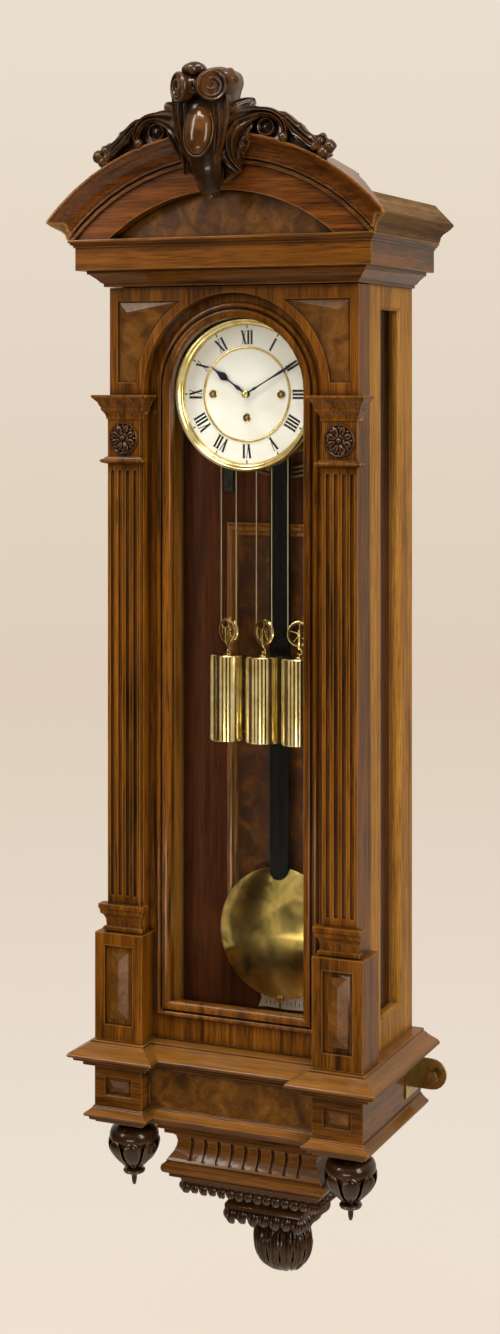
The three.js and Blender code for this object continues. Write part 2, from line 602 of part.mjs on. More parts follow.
function makeScroll() {
  const y = -(shaftFront + CROWN.over - SCROLL.front);
  const span = scrollEnd - SCROLL.start;
  const points = scrollShares.map(([along, above]) => {
    const x = SCROLL.start + along * span;
    return new THREE.Vector3(x, y, archCentre + Math.sqrt(ARCH.radius ** 2 - x ** 2) + above * SCROLL.rise);
  });
  const stem = limb(points, scrollShares.map(([along, above, radius]) => radius * SCROLL.rise));
  const bud = new THREE.SphereGeometry(SCROLL.bud, FACETS.limb, FACETS.bud);
  const end = points[points.length - 1];
  bud.translate(end.x, end.y, end.z);
  return cut(join(stem, bud), makeArch(GAP.seat), crestMiddle());
}

/** Space taken by the middle of the crest, which the side scrolls butt against. */
function crestMiddle() {
  const x = CREST.halfWidth + GAP.seat;
  return box(-x, x, -boardFront - crestTip, 0, 0, crestTop);
}

// Base and apron

/** Plan of the base with a pier at each front corner, for an overhang measured from the shafts. */
function basePlan(over) {
  const x = BODY.halfWidth + over;
  const y = -(shaftFront + over);
  const inner = pierInner - (over - BASE.blockOver);
  return [[-x, 0], [-x, y], [-inner, y], [-inner, y + BASE.recess], [inner, y + BASE.recess], [inner, y],
    [x, y], [x, 0]];
}

function makeBase() {
  const blockTop = BODY.bottom - BASE.torus;
  const blockBottom = blockTop - BASE.block;
  const levels = [
    ...levelsOf(torusShares, BODY.bottom, -BASE.torus, BASE.torusOver),
    [blockTop, BASE.blockOver],
    [blockBottom, BASE.blockOver],
    ...levelsOf(baseFootShares, blockBottom, -BASE.foot, BASE.footOver),
  ];
  const hollow = box(-BASE_HOLLOW.halfWidth, BASE_HOLLOW.halfWidth, -BASE_HOLLOW.front, -BASE_HOLLOW.back,
    baseBottom - GAP.overrun, BODY.bottom - BASE_HOLLOW.roof);
  const face = shaftFront + BASE.blockOver;
  const burl = board(burlOutline(0), face - BASE.recess - BURL.depth, face);
  const panelX = PIER_PANEL.width / 2;
  const panelZ = PIER_PANEL.height / 2;
  const middle = (blockTop + blockBottom) / 2;
  const sinks = [-1, 1].map((side) => box(side * pierCentre - panelX, side * pierCentre + panelX,
    -face - GAP.overrun, -face + PIER_PANEL.recess, middle - panelZ, middle + panelZ));
  const panels = [-1, 1].map((side) => hippedPanel(side * pierCentre - panelX, side * pierCentre + panelX,
    middle - panelZ, middle + panelZ, face - PIER_PANEL.recess - GAP.overrun,
      PIER_PANEL.recess + GAP.overrun));
  return join(cut(loft(levels, basePlan), hollow, burl, ...sinks), ...panels);
}

function burlOutline(margin) {
  const x = pierInner - BURL.inset - margin;
  const blockTop = BODY.bottom - BASE.torus;
  return rectangle(-x, x, blockTop - BASE.block + BURL.inset + margin, blockTop - BURL.inset - margin);
}

function makeBaseBurl() {
  const face = shaftFront + BASE.blockOver - BASE.recess;
  return board(burlOutline(GAP.seat), face - BURL.depth, face);
}

function apronPlan(over) {
  const x = apronHalf + over;
  const y = -(APRON.depth + over);
  return [[-x, 0], [-x, y], [x, y], [x, 0]];
}

function makeApron() {
  const coveTop = baseBottom - APRON.neck;
  const cove = levelsOf(coveShares, coveTop, -APRON.cove, APRON.over);
  const levels = [
    [baseBottom, APRON.neckOver],
    [coveTop, APRON.neckOver],
    ...cove,
    ...levelsOf(apronTorusShares, coveTop - APRON.cove, -APRON.torus, APRON.torusOver),
  ];
  const core = loft(cove, (over) => apronPlan(over - GROOVES.depth));
  const grooveTop = baseBottom - GROOVES.top;
  const pitch = GROOVES.span / (GROOVES.count - 1);
  const slots = Array.from({ length: GROOVES.count }, (unused, i) => {
    const x = -GROOVES.span / 2 + i * pitch;
    return box(x - GROOVES.width / 2, x + GROOVES.width / 2, -APRON.depth * 2, -APRON.depth / 2,
      grooveTop - GROOVES.length, grooveTop);
  });
  const body = loft(levels, apronPlan);
  const shell = cut(body, ...slots);
  return join(shell, common(core, body));
}

/** Plan of a carved tier: a row of lobes along the sides and the front. */
function lobedPlan([share, halfWidth, depth]) {
  const x = halfWidth * share;
  const y = depth * share;
  const points = [[-x, 0]];
  const lobeRun = (x0, y0, x1, y1, count, outX, outY) => {
    for (let i = 0; i < count; i += 1) {
      for (const [along, out] of [[0, 0], [0.5, 1]]) {
        const at = (i + along) / count;
        points.push([x0 + (x1 - x0) * at + outX * out * CARVING.lobe,
          y0 + (y1 - y0) * at + outY * out * CARVING.lobe]);
      }
    }
  };
  lobeRun(-x, -GAP.overrun, -x, -y, CARVING.sideLobes, -1, 0);
  lobeRun(-x, -y, x, -y, CARVING.lobes, 0, -1);
  lobeRun(x, -y, x, -GAP.overrun, CARVING.sideLobes, 1, 0);
  points.push([x, -GAP.overrun], [x, 0]);
  return points;
}

function makeCarving() {
  const tier = (shares, halfWidth, depth) => shares.map(([h, o]) => [apronBottom - h * CARVING.height,
    [o, halfWidth, depth]]);
  const levels = [
    ...tier(carvingShares, apronHalf, CARVING.depth),
    ...tier(lowerCarvingShares, LOWER_CARVING.halfWidth, LOWER_CARVING.depth),
  ];
  return loft(levels, lobedPlan);
}

function makePod() {
  const steps = POD.lobes * FACETS.lobe;
  const planAt = (share) => Array.from({ length: steps + 1 }, (unused, i) => {
    const angle = Math.PI + (Math.PI * i) / steps;
    const wave = 1 - (POD.lobe / POD.halfWidth) * Math.abs(Math.cos(angle * POD.lobes)) ** 3;
    const bulge = i === 0 || i === steps ? 1 : wave;
    return [share * POD.halfWidth * bulge * Math.cos(angle), share * POD.depth * bulge * Math.sin(angle)];
  });
  return loft(podShares.map(([h, o]) => [carvingBottom - h * POD.height, o]), planAt);
}

function makeFinial() {
  const points = finialShares.map(([r, h]) => [r * FINIAL.ball, -h * FINIAL.height]);
  const z = points[points.length - 1][1];
  return turned([[0, 0], ...points, [0, z]], FACETS.turned);
}

function makeBracket() {
  const x = BODY.halfWidth + BASE.blockOver;
  const top = BODY.bottom - BRACKET.drop;
  const middle = top - BRACKET.height / 2;
  const plate = box(x, x + BRACKET.plate, -BRACKET.length, -BRACKET.plate, top - BRACKET.height, top);
  const tip = x + BRACKET.reach - BRACKET.height / 2;
  const arm = box(x, tip, -BRACKET.fromWall, -BRACKET.fromWall + BRACKET.arm, top - BRACKET.height, top);
  const nose = rod(BRACKET.height / 2, BRACKET.fromWall - BRACKET.arm, BRACKET.fromWall, tip, middle,
    FACETS.wheel);
  const hole = rod(SCREW.radius + GAP.seat, 0, BRACKET.length, screwX(), middle);
  return cut(join(plate, arm, nose), hole);
}

function screwX() {
  return BODY.halfWidth + BASE.blockOver + BRACKET.reach - SCREW.fromEdge;
}

function makeScrew() {
  const end = GAP.seat;
  const neck = end + SCREW.length - SCREW.headLength;
  const points = [[0, end], [SCREW.radius, end], [SCREW.radius, neck], [SCREW.head, neck],
    [SCREW.head, end + SCREW.length], [0, end + SCREW.length]];
  return turnedForward(points, FACETS.turned).translate(screwX(), 0,
    BODY.bottom - BRACKET.drop - BRACKET.height / 2);
}

// Door

function lightOutline(offset) {
  return archedOutline(doorLight, lightArch, DOOR.lightBottom, offset);
}

function makeDoorFrame() {
  const edge = rectangle(-BODY.halfWidth, BODY.halfWidth, doorBottom, doorTop);
  const leaf = board(edge, doorBack, doorFront, [lightOutline(0)]);
  const moulding = ring(ringShares, DOOR.moulding, DOOR.proud, doorFront, lightOutline);
  const rabbet = board(lightOutline(PANE.rabbet), doorBack - GAP.overrun, doorBack + PANE.depth);
  const x = BODY.halfWidth - CATCH.inset;
  const bore = rod(CATCH.radius + GAP.seat, doorBack - GAP.overrun, doorBack + CATCH.length, x, CATCH.height);
  return cut(join(leaf, moulding), rabbet, bore);
}

function makePane() {
  const front = doorBack + PANE.depth - GAP.seat;
  return board(lightOutline(PANE.rabbet - GAP.seat), front - PANE.thickness, front);
}

/** Outline of the spandrel panel on the right-hand side, with its hollow side along the arch. */
function spandrelOutline() {
  const x = BODY.halfWidth - SPANDREL.side;
  const top = doorTop - SPANDREL.top;
  const radius = boardLight + SPANDREL.archMargin;
  const arc = [];
  const start = Math.asin((top - lightArch) / radius);
  const end = Math.asin((SPANDREL.bottom - lightArch) / radius);
  const steps = FACETS.limb;
  for (let i = 0; i <= steps; i += 1) {
    const angle = start + ((end - start) * i) / steps;
    arc.push([radius * Math.cos(angle), lightArch + radius * Math.sin(angle)]);
  }
  return [[x, SPANDREL.bottom], [x, top], ...arc];
}

function makeSpandrelPanel() {
  const outline = spandrelOutline();
  const apex = new THREE.Vector3(BODY.halfWidth - SPANDREL.side - SPANDREL.foot, -boardFront - SPANDREL.rise,
    doorTop - SPANDREL.top - SPANDREL.foot);
  const base = outline.map(([x, z]) => new THREE.Vector3(x, -boardFront + SPANDREL.recess + GAP.overrun, z));
  const rim = outline.map(([x, z]) => new THREE.Vector3(x, -boardFront + SPANDREL.recess, z));
  const crown = outline.map(() => apex.clone());
  return skin([base, rim, crown], outline);
}

function makeSpandrelBoard() {
  const x = BODY.halfWidth;
  const light = archedOutline(boardLight, lightArch, doorBottom, 0);
  const arch = light.slice(2);
  const outline = [...arch, [-boardLight, doorBottom], [-x, doorBottom], [-x, doorTop], [x,
    doorTop],
    [x, doorBottom], [boardLight, doorBottom]];
  const plank = board(outline, doorFront, boardFront);
  const right = spandrelOutline();
  const left = right.map(([px, z]) => [-px, z]).reverse();
  const sink = boardFront - SPANDREL.recess;
  const sinks = [right, left].map((points) => board(points, sink, boardFront + GAP.overrun));
  const panel = makeSpandrelPanel();
  return join(cut(plank, ...sinks), panel, mirrored(panel));
}

/** Plan of the mouldings round a pilaster on the right-hand side, back to a given distance. */
function pilasterPlan(back) {
  return (over) => {
    const outer = BODY.halfWidth + over;
    const inner = BODY.halfWidth - SHAFT.width - over;
    const front = shaftFront + over;
    return [[inner, -back], [inner, -front], [outer, -front], [outer, -back]];
  };
}

function makePilaster() {
  const outer = BODY.halfWidth;
  const inner = outer - SHAFT.width;
  const shaft = box(inner, outer, -shaftFront, -boardFront, FOOT.top - FOOT.height, CAPITAL.top);
  const capital = loft(levelsOf(capitalShares, CAPITAL.top - CAPITAL.height, CAPITAL.height,
    CAPITAL.overhang),
    pilasterPlan(doorFront + GAP.seat + DOOR.proud));
  const astragal = loft(levelsOf(astragalShares, ASTRAGAL.top, -ASTRAGAL.height, ASTRAGAL.overhang),
    pilasterPlan(boardFront));
  const foot = loft(levelsOf(footShares, FOOT.top, -FOOT.height, FOOT.overhang), pilasterPlan(boardFront));
  const plinthFront = shaftFront + PLINTH.front;
  const plinth = box(pierInner, outer + PLINTH.outer, -plinthFront, -doorBack, doorBottom, PLINTH.top);
  const panelX = [pierInner + PLINTH.margin, outer + PLINTH.outer - PLINTH.margin];
  const panelZ = [doorBottom + PLINTH.panelFoot, PLINTH.top - PLINTH.panelTop];
  const sink = box(...panelX, -plinthFront - GAP.overrun, -plinthFront + PLINTH.recess, ...panelZ);
  const panel = hippedPanel(...panelX, ...panelZ, plinthFront - PLINTH.recess - GAP.overrun,
    PLINTH.recess + GAP.overrun);
  const middle = (inner + outer) / 2;
  const flutes = Array.from({ length: FLUTES.count }, (unused, i) => {
    const x = middle + (i - (FLUTES.count - 1) / 2) * SHAFT.pitch;
    return makeFlute(x);
  });
  const body = join(cut(shaft, ...flutes), capital, astragal, foot, cut(plinth, sink), panel);
  const frameSpace = box(0, outer, -doorFront, 0, doorBottom - GAP.overrun, doorTop);
  const boardSpace = box(boardLight, outer, -boardFront, 0, doorBottom - GAP.overrun, doorTop);
  return cut(body, frameSpace, boardSpace);
}

/** Cutter for one flute: a half-round channel with round ends. */
function makeFlute(x) {
  const radius = SHAFT.flute / 2;
  const outline = [];
  const steps = FACETS.flute;
  for (const [z, start] of [[SHAFT.fluteTop - radius, 0], [SHAFT.fluteBottom + radius, Math.PI]]) {
    for (let i = 0; i <= steps; i += 1) {
      const angle = start + (Math.PI * i) / steps;
      outline.push([x + radius * Math.cos(angle), z + radius * Math.sin(angle)]);
    }
  }
  return board(outline, shaftFront - FLUTES.depth, shaftFront + GAP.overrun);
}

function makeRosette() {
  const steps = ROSETTE.petals * FACETS.lobe;
  const rings = rosetteShares.map(([r, rise]) => (
    Array.from({ length: steps }, (unused, i) => {
      const angle = (2 * Math.PI * i) / steps;
      const dip = r > petalShares.from ? petalShares.dip : 0;
      const radius = ROSETTE.radius * r * (1 - dip * (1 - Math.abs(Math.cos((angle * ROSETTE.petals) / 2))));
      return new THREE.Vector3(radius * Math.cos(angle), -rise * ROSETTE.depth, radius * Math.sin(angle));
    })));
  const cap = rings[0].map((point) => [point.x, point.z]);
  return skin(rings, cap);
}

function makeHinge(bottom) {
  const x = -(BODY.halfWidth + HINGE.offset);
  const y = -doorBack;
  const barrel = new THREE.CylinderGeometry(HINGE.barrel, HINGE.barrel, HINGE.length, FACETS.wheel);
  barrel.rotateX(Math.PI / 2).translate(x, y, bottom + HINGE.length / 2);
  const caps = [bottom - HINGE.cap / 2, bottom + HINGE.length + HINGE.cap / 2].map((z) => {
    const ball = new THREE.CylinderGeometry(HINGE.cap, HINGE.cap, HINGE.cap + GAP.overrun, FACETS.turned);
    return ball.rotateX(Math.PI / 2).translate(x, y, z);
  });
  const leaf = box(-BODY.halfWidth - HINGE.leaf, -BODY.halfWidth, y + GAP.overrun,
    y + GAP.overrun + HINGE.leafDepth,
    bottom, bottom + HINGE.length);
  const web = box(x, -BODY.halfWidth - HINGE.leaf / 2, y + GAP.seat * 2, y + GAP.overrun * 2, bottom,
    bottom + HINGE.length);
  const carcass = box(-BODY.halfWidth, BODY.halfWidth, -BODY.depth, 0, BODY.bottom, BODY.top);
  return cut(join(barrel, ...caps, leaf, web), carcass);
}

function makeCatch() {
  const front = doorBack - CATCH.reach - GAP.door + CATCH.length;
  return rod(CATCH.radius, front - CATCH.length, front, BODY.halfWidth - CATCH.inset, CATCH.height);
}

// Movement

const lineRadius = PULLEY.groove + GAP.seat + CABLE.radius;

/** One of the three trains: its arbor, its weight and the side on which the line leaves the drum. */
function makeTrain(name, x, z, weightX, side) {
  const turn = THREE.MathUtils.degToRad(WEIGHT.turn) * side;
  const reach = new THREE.Vector2(Math.cos(turn), Math.sin(turn)).multiplyScalar(lineRadius * side);
  const drumEnd = [weightX + reach.x, -WEIGHT.y + reach.y];
  const hookEnd = [weightX - reach.x, -WEIGHT.y - reach.y];
  const radius = Math.abs(drumEnd[0] - x) - CABLE.radius - GAP.seat;
  return { name, x, z, weightX, turn, drumEnd, hookEnd, radius };
}

const trains = [
  makeTrain('left', -TRAIN.x, TRAIN.height, -WEIGHT.x, -1),
  makeTrain('centre', 0, TRAIN.centreHeight, 0, -1),
  makeTrain('right', TRAIN.x, TRAIN.height, WEIGHT.x, 1),
];

function makeMovementFrame() {
  const { halfWidth: hw, halfHeight: hh } = MOVEMENT;
  const backPlate = box(-hw, hw, -MOVEMENT.back - MOVEMENT.plate, -MOVEMENT.back, -hh, hh);
  const frontPlate = box(-hw, hw, -MOVEMENT.front - MOVEMENT.plate, -MOVEMENT.front, -hh, hh);
  const pillars = [[-1, -1], [1, -1], [1, 1], [-1, 1]].map(([i, k]) => rod(MOVEMENT.pillar, MOVEMENT.back,
    MOVEMENT.front + GAP.seat, i * (hw - MOVEMENT.pillarInset), k * (hh - MOVEMENT.pillarInset)));
  const hooks = trains.map((train) => {
    const [x, y] = train.hookEnd;
    return rod(CABLE.post, -y - CABLE.post, MOVEMENT.front + GAP.seat, x, train.z + CABLE.post);
  });
  const bore = (plate, x, z) => rod(ARBOR.plateHole, plate - GAP.overrun,
    plate + MOVEMENT.plate + GAP.overrun, x, z);
  const holes = trains.map(({ x, z }) => bore(MOVEMENT.front, x, z));
  const centre = bore(MOVEMENT.front, 0, 0);
  const pivot = bore(MOVEMENT.back, 0, PENDULUM.axis);
  return cut(join(backPlate, frontPlate, ...pillars, ...hooks), ...holes, centre, pivot);
}

function makeSeat() {
  const { halfWidth: hw } = MOVEMENT;
  const x = hw - SEAT.armInset;
  const h = SEAT.armHalfHeight;
  const top = SEAT.cockHeight + SEAT.cockThickness;
  const plate = box(-x, x, -BODY.back - SEAT.plate, -BODY.back, -h, top);
  const arms = [-1, 1].map((side) => box(side * x, side * (x - SEAT.arm), -MOVEMENT.back, -BODY.back, -h, h));
  const cock = box(-SEAT.cock, SEAT.cock, -PENDULUM.y - PENDULUM.halfDepth, -BODY.back, SEAT.cockHeight, top);
  return join(plate, ...arms, cock);
}

function makeDial() {
  const { face, radius, thickness, sink } = DIAL;
  const disc = turnedForward([[0, face - thickness], [radius, face - thickness], [radius, face],
    [RING.inner, face], [RING.inner - sink, face - sink], [0, face - sink]], FACETS.dial);
  const feet = [[-1, -1], [1, -1], [1, 1], [-1, 1]].map(([i, k]) => rod(DIAL.foot,
    MOVEMENT.front + MOVEMENT.plate,
    face - thickness / 2, i * DIAL.footX, k * DIAL.footZ));
  const holes = trains.map(({ x, z }) => rod(DIAL.winding, face - GAP.overrun * 2, face + GAP.overrun, x, z));
  const centre = rod(DIAL.hole, face - GAP.overrun * 2, face + GAP.overrun);
  return cut(join(disc, ...feet), ...holes, centre);
}

function makeBezel() {
  const { inner, outer, front, back } = BEZEL;
  const seat = DIAL.radius + GAP.seat;
  const lip = DIAL.face + GAP.seat;
  const depth = front - back;
  const width = outer - inner;
  const profile = bezelShares.map(([w, d]) => [inner + w * width, back + d * depth]);
  const points = [[seat, back], ...profile, [inner, lip], [seat, lip], [seat, back]];
  return turnedForward(points, FACETS.dial);
}

function makeDialRing() {
  const back = DIAL.face + GAP.seat;
  const { inner, outer, thickness } = RING;
  const middle = (inner + outer) / 2;
  return turnedForward([[inner, back], [outer, back], [outer, back + thickness / 2], [middle,
    back + thickness],
    [inner, back + thickness / 2], [inner, back]], FACETS.dial);
}

/** Flat hand from a table of [along, half width] shares, pointing up. */
function handBlade(shares, { length, halfWidth }) {
  const right = shares.map(([along, half]) => [half * halfWidth, along * length]);
  const left = right.map(([x, z]) => [-x, z]).reverse();
  return [...right, ...left];
}

function makeHourHand() {
  const { front } = HOUR;
  const blade = board(handBlade(hourShares, HOUR), front - HAND.thickness, front);
  const boss = rod(HAND.boss + HAND.thickness, front - HAND.thickness, front);
  const pipe = rod(ARBOR.pipeOuter, MOVEMENT.front + MOVEMENT.plate + GAP.seat, front - HAND.thickness / 2);
  const bore = rod(ARBOR.pipeInner, MOVEMENT.front, front + GAP.overrun);
  return cut(join(blade, boss, pipe), bore);
}

function makeMinuteHand() {
  const { front } = MINUTE;
  const blade = board(handBlade(minuteShares, MINUTE), front - HAND.thickness, front);
  const boss = rod(HAND.boss, front - HAND.thickness, front + HAND.thickness);
  const arbor = rod(ARBOR.minute, MOVEMENT.front - MOVEMENT.plate, front);
  return join(blade, boss, arbor);
}

function toothedOutline(radius, tooth, count) {
  const points = [];
  for (let i = 0; i < count; i += 1) {
    for (const [share, r] of [[0, radius - tooth], [0.5, radius]]) {
      const angle = (2 * Math.PI * (i + share)) / count;
      points.push([r * Math.cos(angle), r * Math.sin(angle)]);
    }
  }
  return points;
}

function makeDrum(radius) {
  const back = DRUM.back;
  const front = back + DRUM.length;
  const flange = radius + DRUM.flange;
  const thick = DRUM.flangeThickness;
  const barrel = turnedForward([[0, back], [flange, back], [flange, back + thick], [radius, back + thick],
    [radius, front - thick], [flange, front - thick], [flange, front], [0, front]], FACETS.turned);
  const wheel = board(toothedOutline(TRAIN.wheel, TRAIN.tooth, TRAIN.teeth), back - TRAIN.wheelThickness,
    back + GAP.seat);
  const arbor = rod(ARBOR.winding, MOVEMENT.back + MOVEMENT.plate + GAP.seat,
    MOVEMENT.front + MOVEMENT.plate);
  const half = ARBOR.square;
  const square = box(-half, half, -ARBOR.key, -MOVEMENT.front, -half, half);
  return join(barrel, wheel, arbor, square);
}

function makeEscapeWheel() {
  const wheel = board(toothedOutline(ESCAPE.radius, ESCAPE.tooth, ESCAPE.teeth),
    ESCAPE.y - ESCAPE.thickness, ESCAPE.y);
  const hub = rod(ESCAPE.hub, ESCAPE.y - ESCAPE.hub, ESCAPE.y + ESCAPE.hub);
  const arbor = rod(ARBOR.minute, MOVEMENT.back + MOVEMENT.plate + GAP.seat, MOVEMENT.front - GAP.seat);
  return join(wheel, hub, arbor);
}

function makePallets() {
  const { span, drop, arm, thickness } = PALLETS;
  const outline = [[-span, -drop], [-span + arm, -drop], [-arm, -arm], [arm, -arm], [span - arm, -drop],
    [span, -drop],
    [arm, arm], [-arm, arm]];
  const anchor = board(outline, ESCAPE.y - thickness, ESCAPE.y);
  const arbor = rod(ARBOR.minute, PALLETS.crutchY, MOVEMENT.front - GAP.seat);
  const w = PALLETS.crutchWidth;
  const crutch = box(-w, w, -PALLETS.crutchY - w / 2, -PALLETS.crutchY, -PALLETS.crutch, w);
  const pin = rod(PALLETS.pin, PENDULUM.y + PENDULUM.halfDepth + GAP.seat, PALLETS.crutchY + w / 2, 0,
    -PALLETS.crutch + w);
  return join(anchor, arbor, crutch, pin);
}

// Pendulum, built about its suspension point

function makeRod() {
  const p = PENDULUM;
  const top = p.top - p.axis;
  const shoulder = top - p.neckLength;
  const end = p.end - p.axis;
  const outline = [[-p.neck, top], [-p.neck, shoulder], [-p.halfWidth, shoulder - p.neck]];
  const steps = FACETS.pin;
  for (let i = 0; i <= steps; i += 1) {
    const angle = Math.PI + (Math.PI * i) / steps;
    outline.push([p.halfWidth * Math.cos(angle), end + p.halfWidth + p.halfWidth * Math.sin(angle)]);
  }
  outline.push([p.halfWidth, shoulder - p.neck], [p.neck, shoulder], [p.neck, top]);
  const stick = board(outline.reverse(), -p.halfDepth, p.halfDepth);
  const flutes = Array.from({ length: ROD_FLUTE.count }, (unused, i) => {
    const x = (i - (ROD_FLUTE.count - 1) / 2) * ROD_FLUTE.pitch;
    return box(x - ROD_FLUTE.width / 2, x + ROD_FLUTE.width / 2, -p.halfDepth - GAP.overrun,
      -p.halfDepth + ROD_FLUTE.depth, end + ROD_FLUTE.stop, shoulder - ROD_FLUTE.start);
  });
  return cut(stick, ...flutes);
}

function makeBob() {
  const b = BOB;
  const z = b.height - PENDULUM.axis;
  const half = [];
  for (let i = 0; i <= b.rings; i += 1) {
    const share = i / b.rings;
    half.push([b.radius * share, b.rim + (b.halfDepth - b.rim) * (1 - share ** 2)]);
  }
  const lens = turnedForward([...half.map(([r, d]) => [r, -d]), ...half.reverse()],
    FACETS.bob).translate(0, 0, z);
  const tipEnd = -b.tip - PENDULUM.axis;
  const stem = new THREE.CylinderGeometry(b.stem, b.stem, b.nut * 2, FACETS.turned);
  stem.rotateX(Math.PI / 2).translate(0, 0, z - b.radius);
  const point = turned([[0, z - b.radius], [b.stem, z - b.radius], [GAP.seat, tipEnd], [0, tipEnd]],
    FACETS.turned);
  const gap = PENDULUM.halfWidth + GAP.seat;
  const bottom = PENDULUM.end - PENDULUM.axis + PENDULUM.halfWidth;
  const throat = box(-gap, gap, -b.halfDepth * 2, b.halfDepth * 2, bottom, 0);
  const round = rod(gap, -b.halfDepth * 2, b.halfDepth * 2, 0, bottom, FACETS.wheel);
  return cut(join(lens, stem, point), throat, round);
}

function makeBeatPlate() {
  const b = BEAT_PLATE;
  const low = b.top - b.height;
  const outline = [[-b.halfWidth, low], [0, low - b.waist / 2], [b.halfWidth, low], [b.halfWidth - b.waist,
    (b.top + low) / 2],
    [b.halfWidth, b.top], [0, b.top - b.waist], [-b.halfWidth, b.top], [-b.halfWidth + b.waist,
      (b.top + low) / 2]];
  return board(outline, BODY.back, BODY.back + b.thickness);
}

/** Spiral gong in one unbroken wire that ends in its block on the backboard. */
function gongPoints() {
  const start = Math.atan2(GONG_BLOCK.wireHeight, -GONG_BLOCK.x);
  const steps = GONG.turns * GONG.steps;
  return Array.from({ length: steps + 1 }, (unused, i) => {
    const turn = i / GONG.steps;
    const angle = start - 2 * Math.PI * turn;
    const radius = GONG.radius - GONG.pitch * turn;
    return new THREE.Vector3(radius * Math.cos(angle), -GONG.y, radius * Math.sin(angle));
  });
}

function tube(points, radius, sides) {
  const rings = points.map((point, i) => {
    const along = points[Math.min(i + 1, points.length - 1)].clone().sub(points[Math.max(i - 1,
      0)]).normalize();
    const across = new THREE.Vector3(0, 1, 0).cross(along).normalize();
    const up = along.clone().cross(across).normalize();
    return Array.from({ length: sides }, (unused, k) => {
      const angle = (2 * Math.PI * k) / sides;
      return point.clone().addScaledVector(across, radius * Math.cos(angle)).addScaledVector(up,
        radius * Math.sin(angle));
    });
  });
  const cap = Array.from({ length: sides }, (unused, k) => {
    const angle = (2 * Math.PI * k) / sides;
    return [Math.cos(angle), Math.sin(angle)];
  });
  return skin(rings, cap);
}

function makeGong() {
  const points = gongPoints();
  let gap = Infinity;
  for (let i = 0; i < points.length; i += 1) {
    for (let k = i + GONG.steps / 2; k < points.length; k += 1) gap = Math.min(gap,
      points[i].distanceTo(points[k]));
  }
  console.log(`Least gap of the gong wire to itself: ${(gap - 2 * GONG.wire).toFixed(2)} mm`);
  const wire = tube(points, GONG.wire, GONG.sides);
  const { x, half, wireHeight, height } = GONG_BLOCK;
  const top = wireHeight + half;
  const block = box(-x - half, -x + half, -GONG.y - GONG.wire * 2, -BODY.back, top - height, top);
  return join(wire, block);
}

function makeBackFrame() {
  const { outer, width, top, bottom, height } = BACK_FRAME;
  const outlineAt = (offset) => rectangle(-outer + offset, outer - offset, bottom + offset, top - offset);
  return ring(frameRingShares, width, height, BODY.back, outlineAt);
}

function makeBackPanel() {
  const { outer, width, top, bottom } = BACK_FRAME;
  const margin = width + GAP.seat;
  return board(rectangle(-outer + margin, outer - margin, bottom + margin, top - margin), BODY.back,
    BODY.back + BACK_PANEL.thickness);
}

// Weights, pulleys and lines, built about the pulley's centre

function makeWeight() {
  const top = WEIGHT.top - PULLEY.height;
  const bottom = top - WEIGHT.height;
  const r = WEIGHT.radius;
  const body = turned([[0, bottom], [r - WEIGHT.bevel, bottom], [r, bottom + WEIGHT.bevel], [r,
    top - WEIGHT.bevel],
    [r - WEIGHT.bevel, top], [0, top]]);
  const s = STIRRUP;
  const outer = s.inner + s.thickness;
  const cheeks = [-1, 1].map((side) => box(-s.width / 2, s.width / 2, side * s.inner, side * outer, top,
    s.width / 2));
  const reach = PULLEY.radius + GAP.overrun;
  const bridge = box(-s.width / 2, s.width / 2, -outer, outer, top - GAP.overrun, -reach);
  const pin = rod(s.pin, -outer - s.thickness, outer + s.thickness);
  return join(body, bridge, ...cheeks, pin);
}

function makePulley() {
  const p = PULLEY;
  const wheel = turnedForward([[p.bore, -p.halfWidth], [p.radius, -p.halfWidth], [p.radius, -p.grooveHalf],
    [p.groove, -p.grooveHalf], [p.groove, p.grooveHalf], [p.radius, p.grooveHalf], [p.radius, p.halfWidth],
    [p.bore, p.halfWidth], [p.bore, -p.halfWidth]], FACETS.turned);
  const orbit = (p.bore + p.groove) / 2;
  const holes = Array.from({ length: p.holes }, (unused, i) => {
    const angle = (2 * Math.PI * i) / p.holes;
    return rod(p.hole, -p.radius, p.radius, orbit * Math.cos(angle), orbit * Math.sin(angle));
  });
  return cut(wheel, ...holes);
}

/** Line from the drum, under the pulley and up to its hook. */
function makeCable(train) {
  const { drumEnd: drum, hookEnd: hook } = train;
  const top = train.z - GAP.seat;
  const drop = top - PULLEY.height;
  const runs = Math.round(drop / CABLE.step);
  const points = [];
  for (let i = 0; i < runs; i += 1) points.push(new THREE.Vector3(...drum, top - (drop * i) / runs));
  for (let i = 0; i <= CABLE.turnSteps; i += 1) {
    const share = (1 + Math.cos((Math.PI * i) / CABLE.turnSteps)) / 2;
    const x = THREE.MathUtils.lerp(hook[0], drum[0], share);
    const y = THREE.MathUtils.lerp(hook[1], drum[1], share);
    points.push(new THREE.Vector3(x, y,
      PULLEY.height - lineRadius * Math.sin((Math.PI * i) / CABLE.turnSteps)));
  }
  for (let i = runs - 1; i >= 0; i -= 1) points.push(new THREE.Vector3(...hook, top - (drop * i) / runs));
  return tube(points, CABLE.radius, CABLE.sides);
}

// Assembly

const clock = new THREE.Group();
const carcass = new THREE.Group();
const crest = new THREE.Group();
const door = new THREE.Group();
const movement = new THREE.Group();
clock.add(carcass, crest, door, movement);

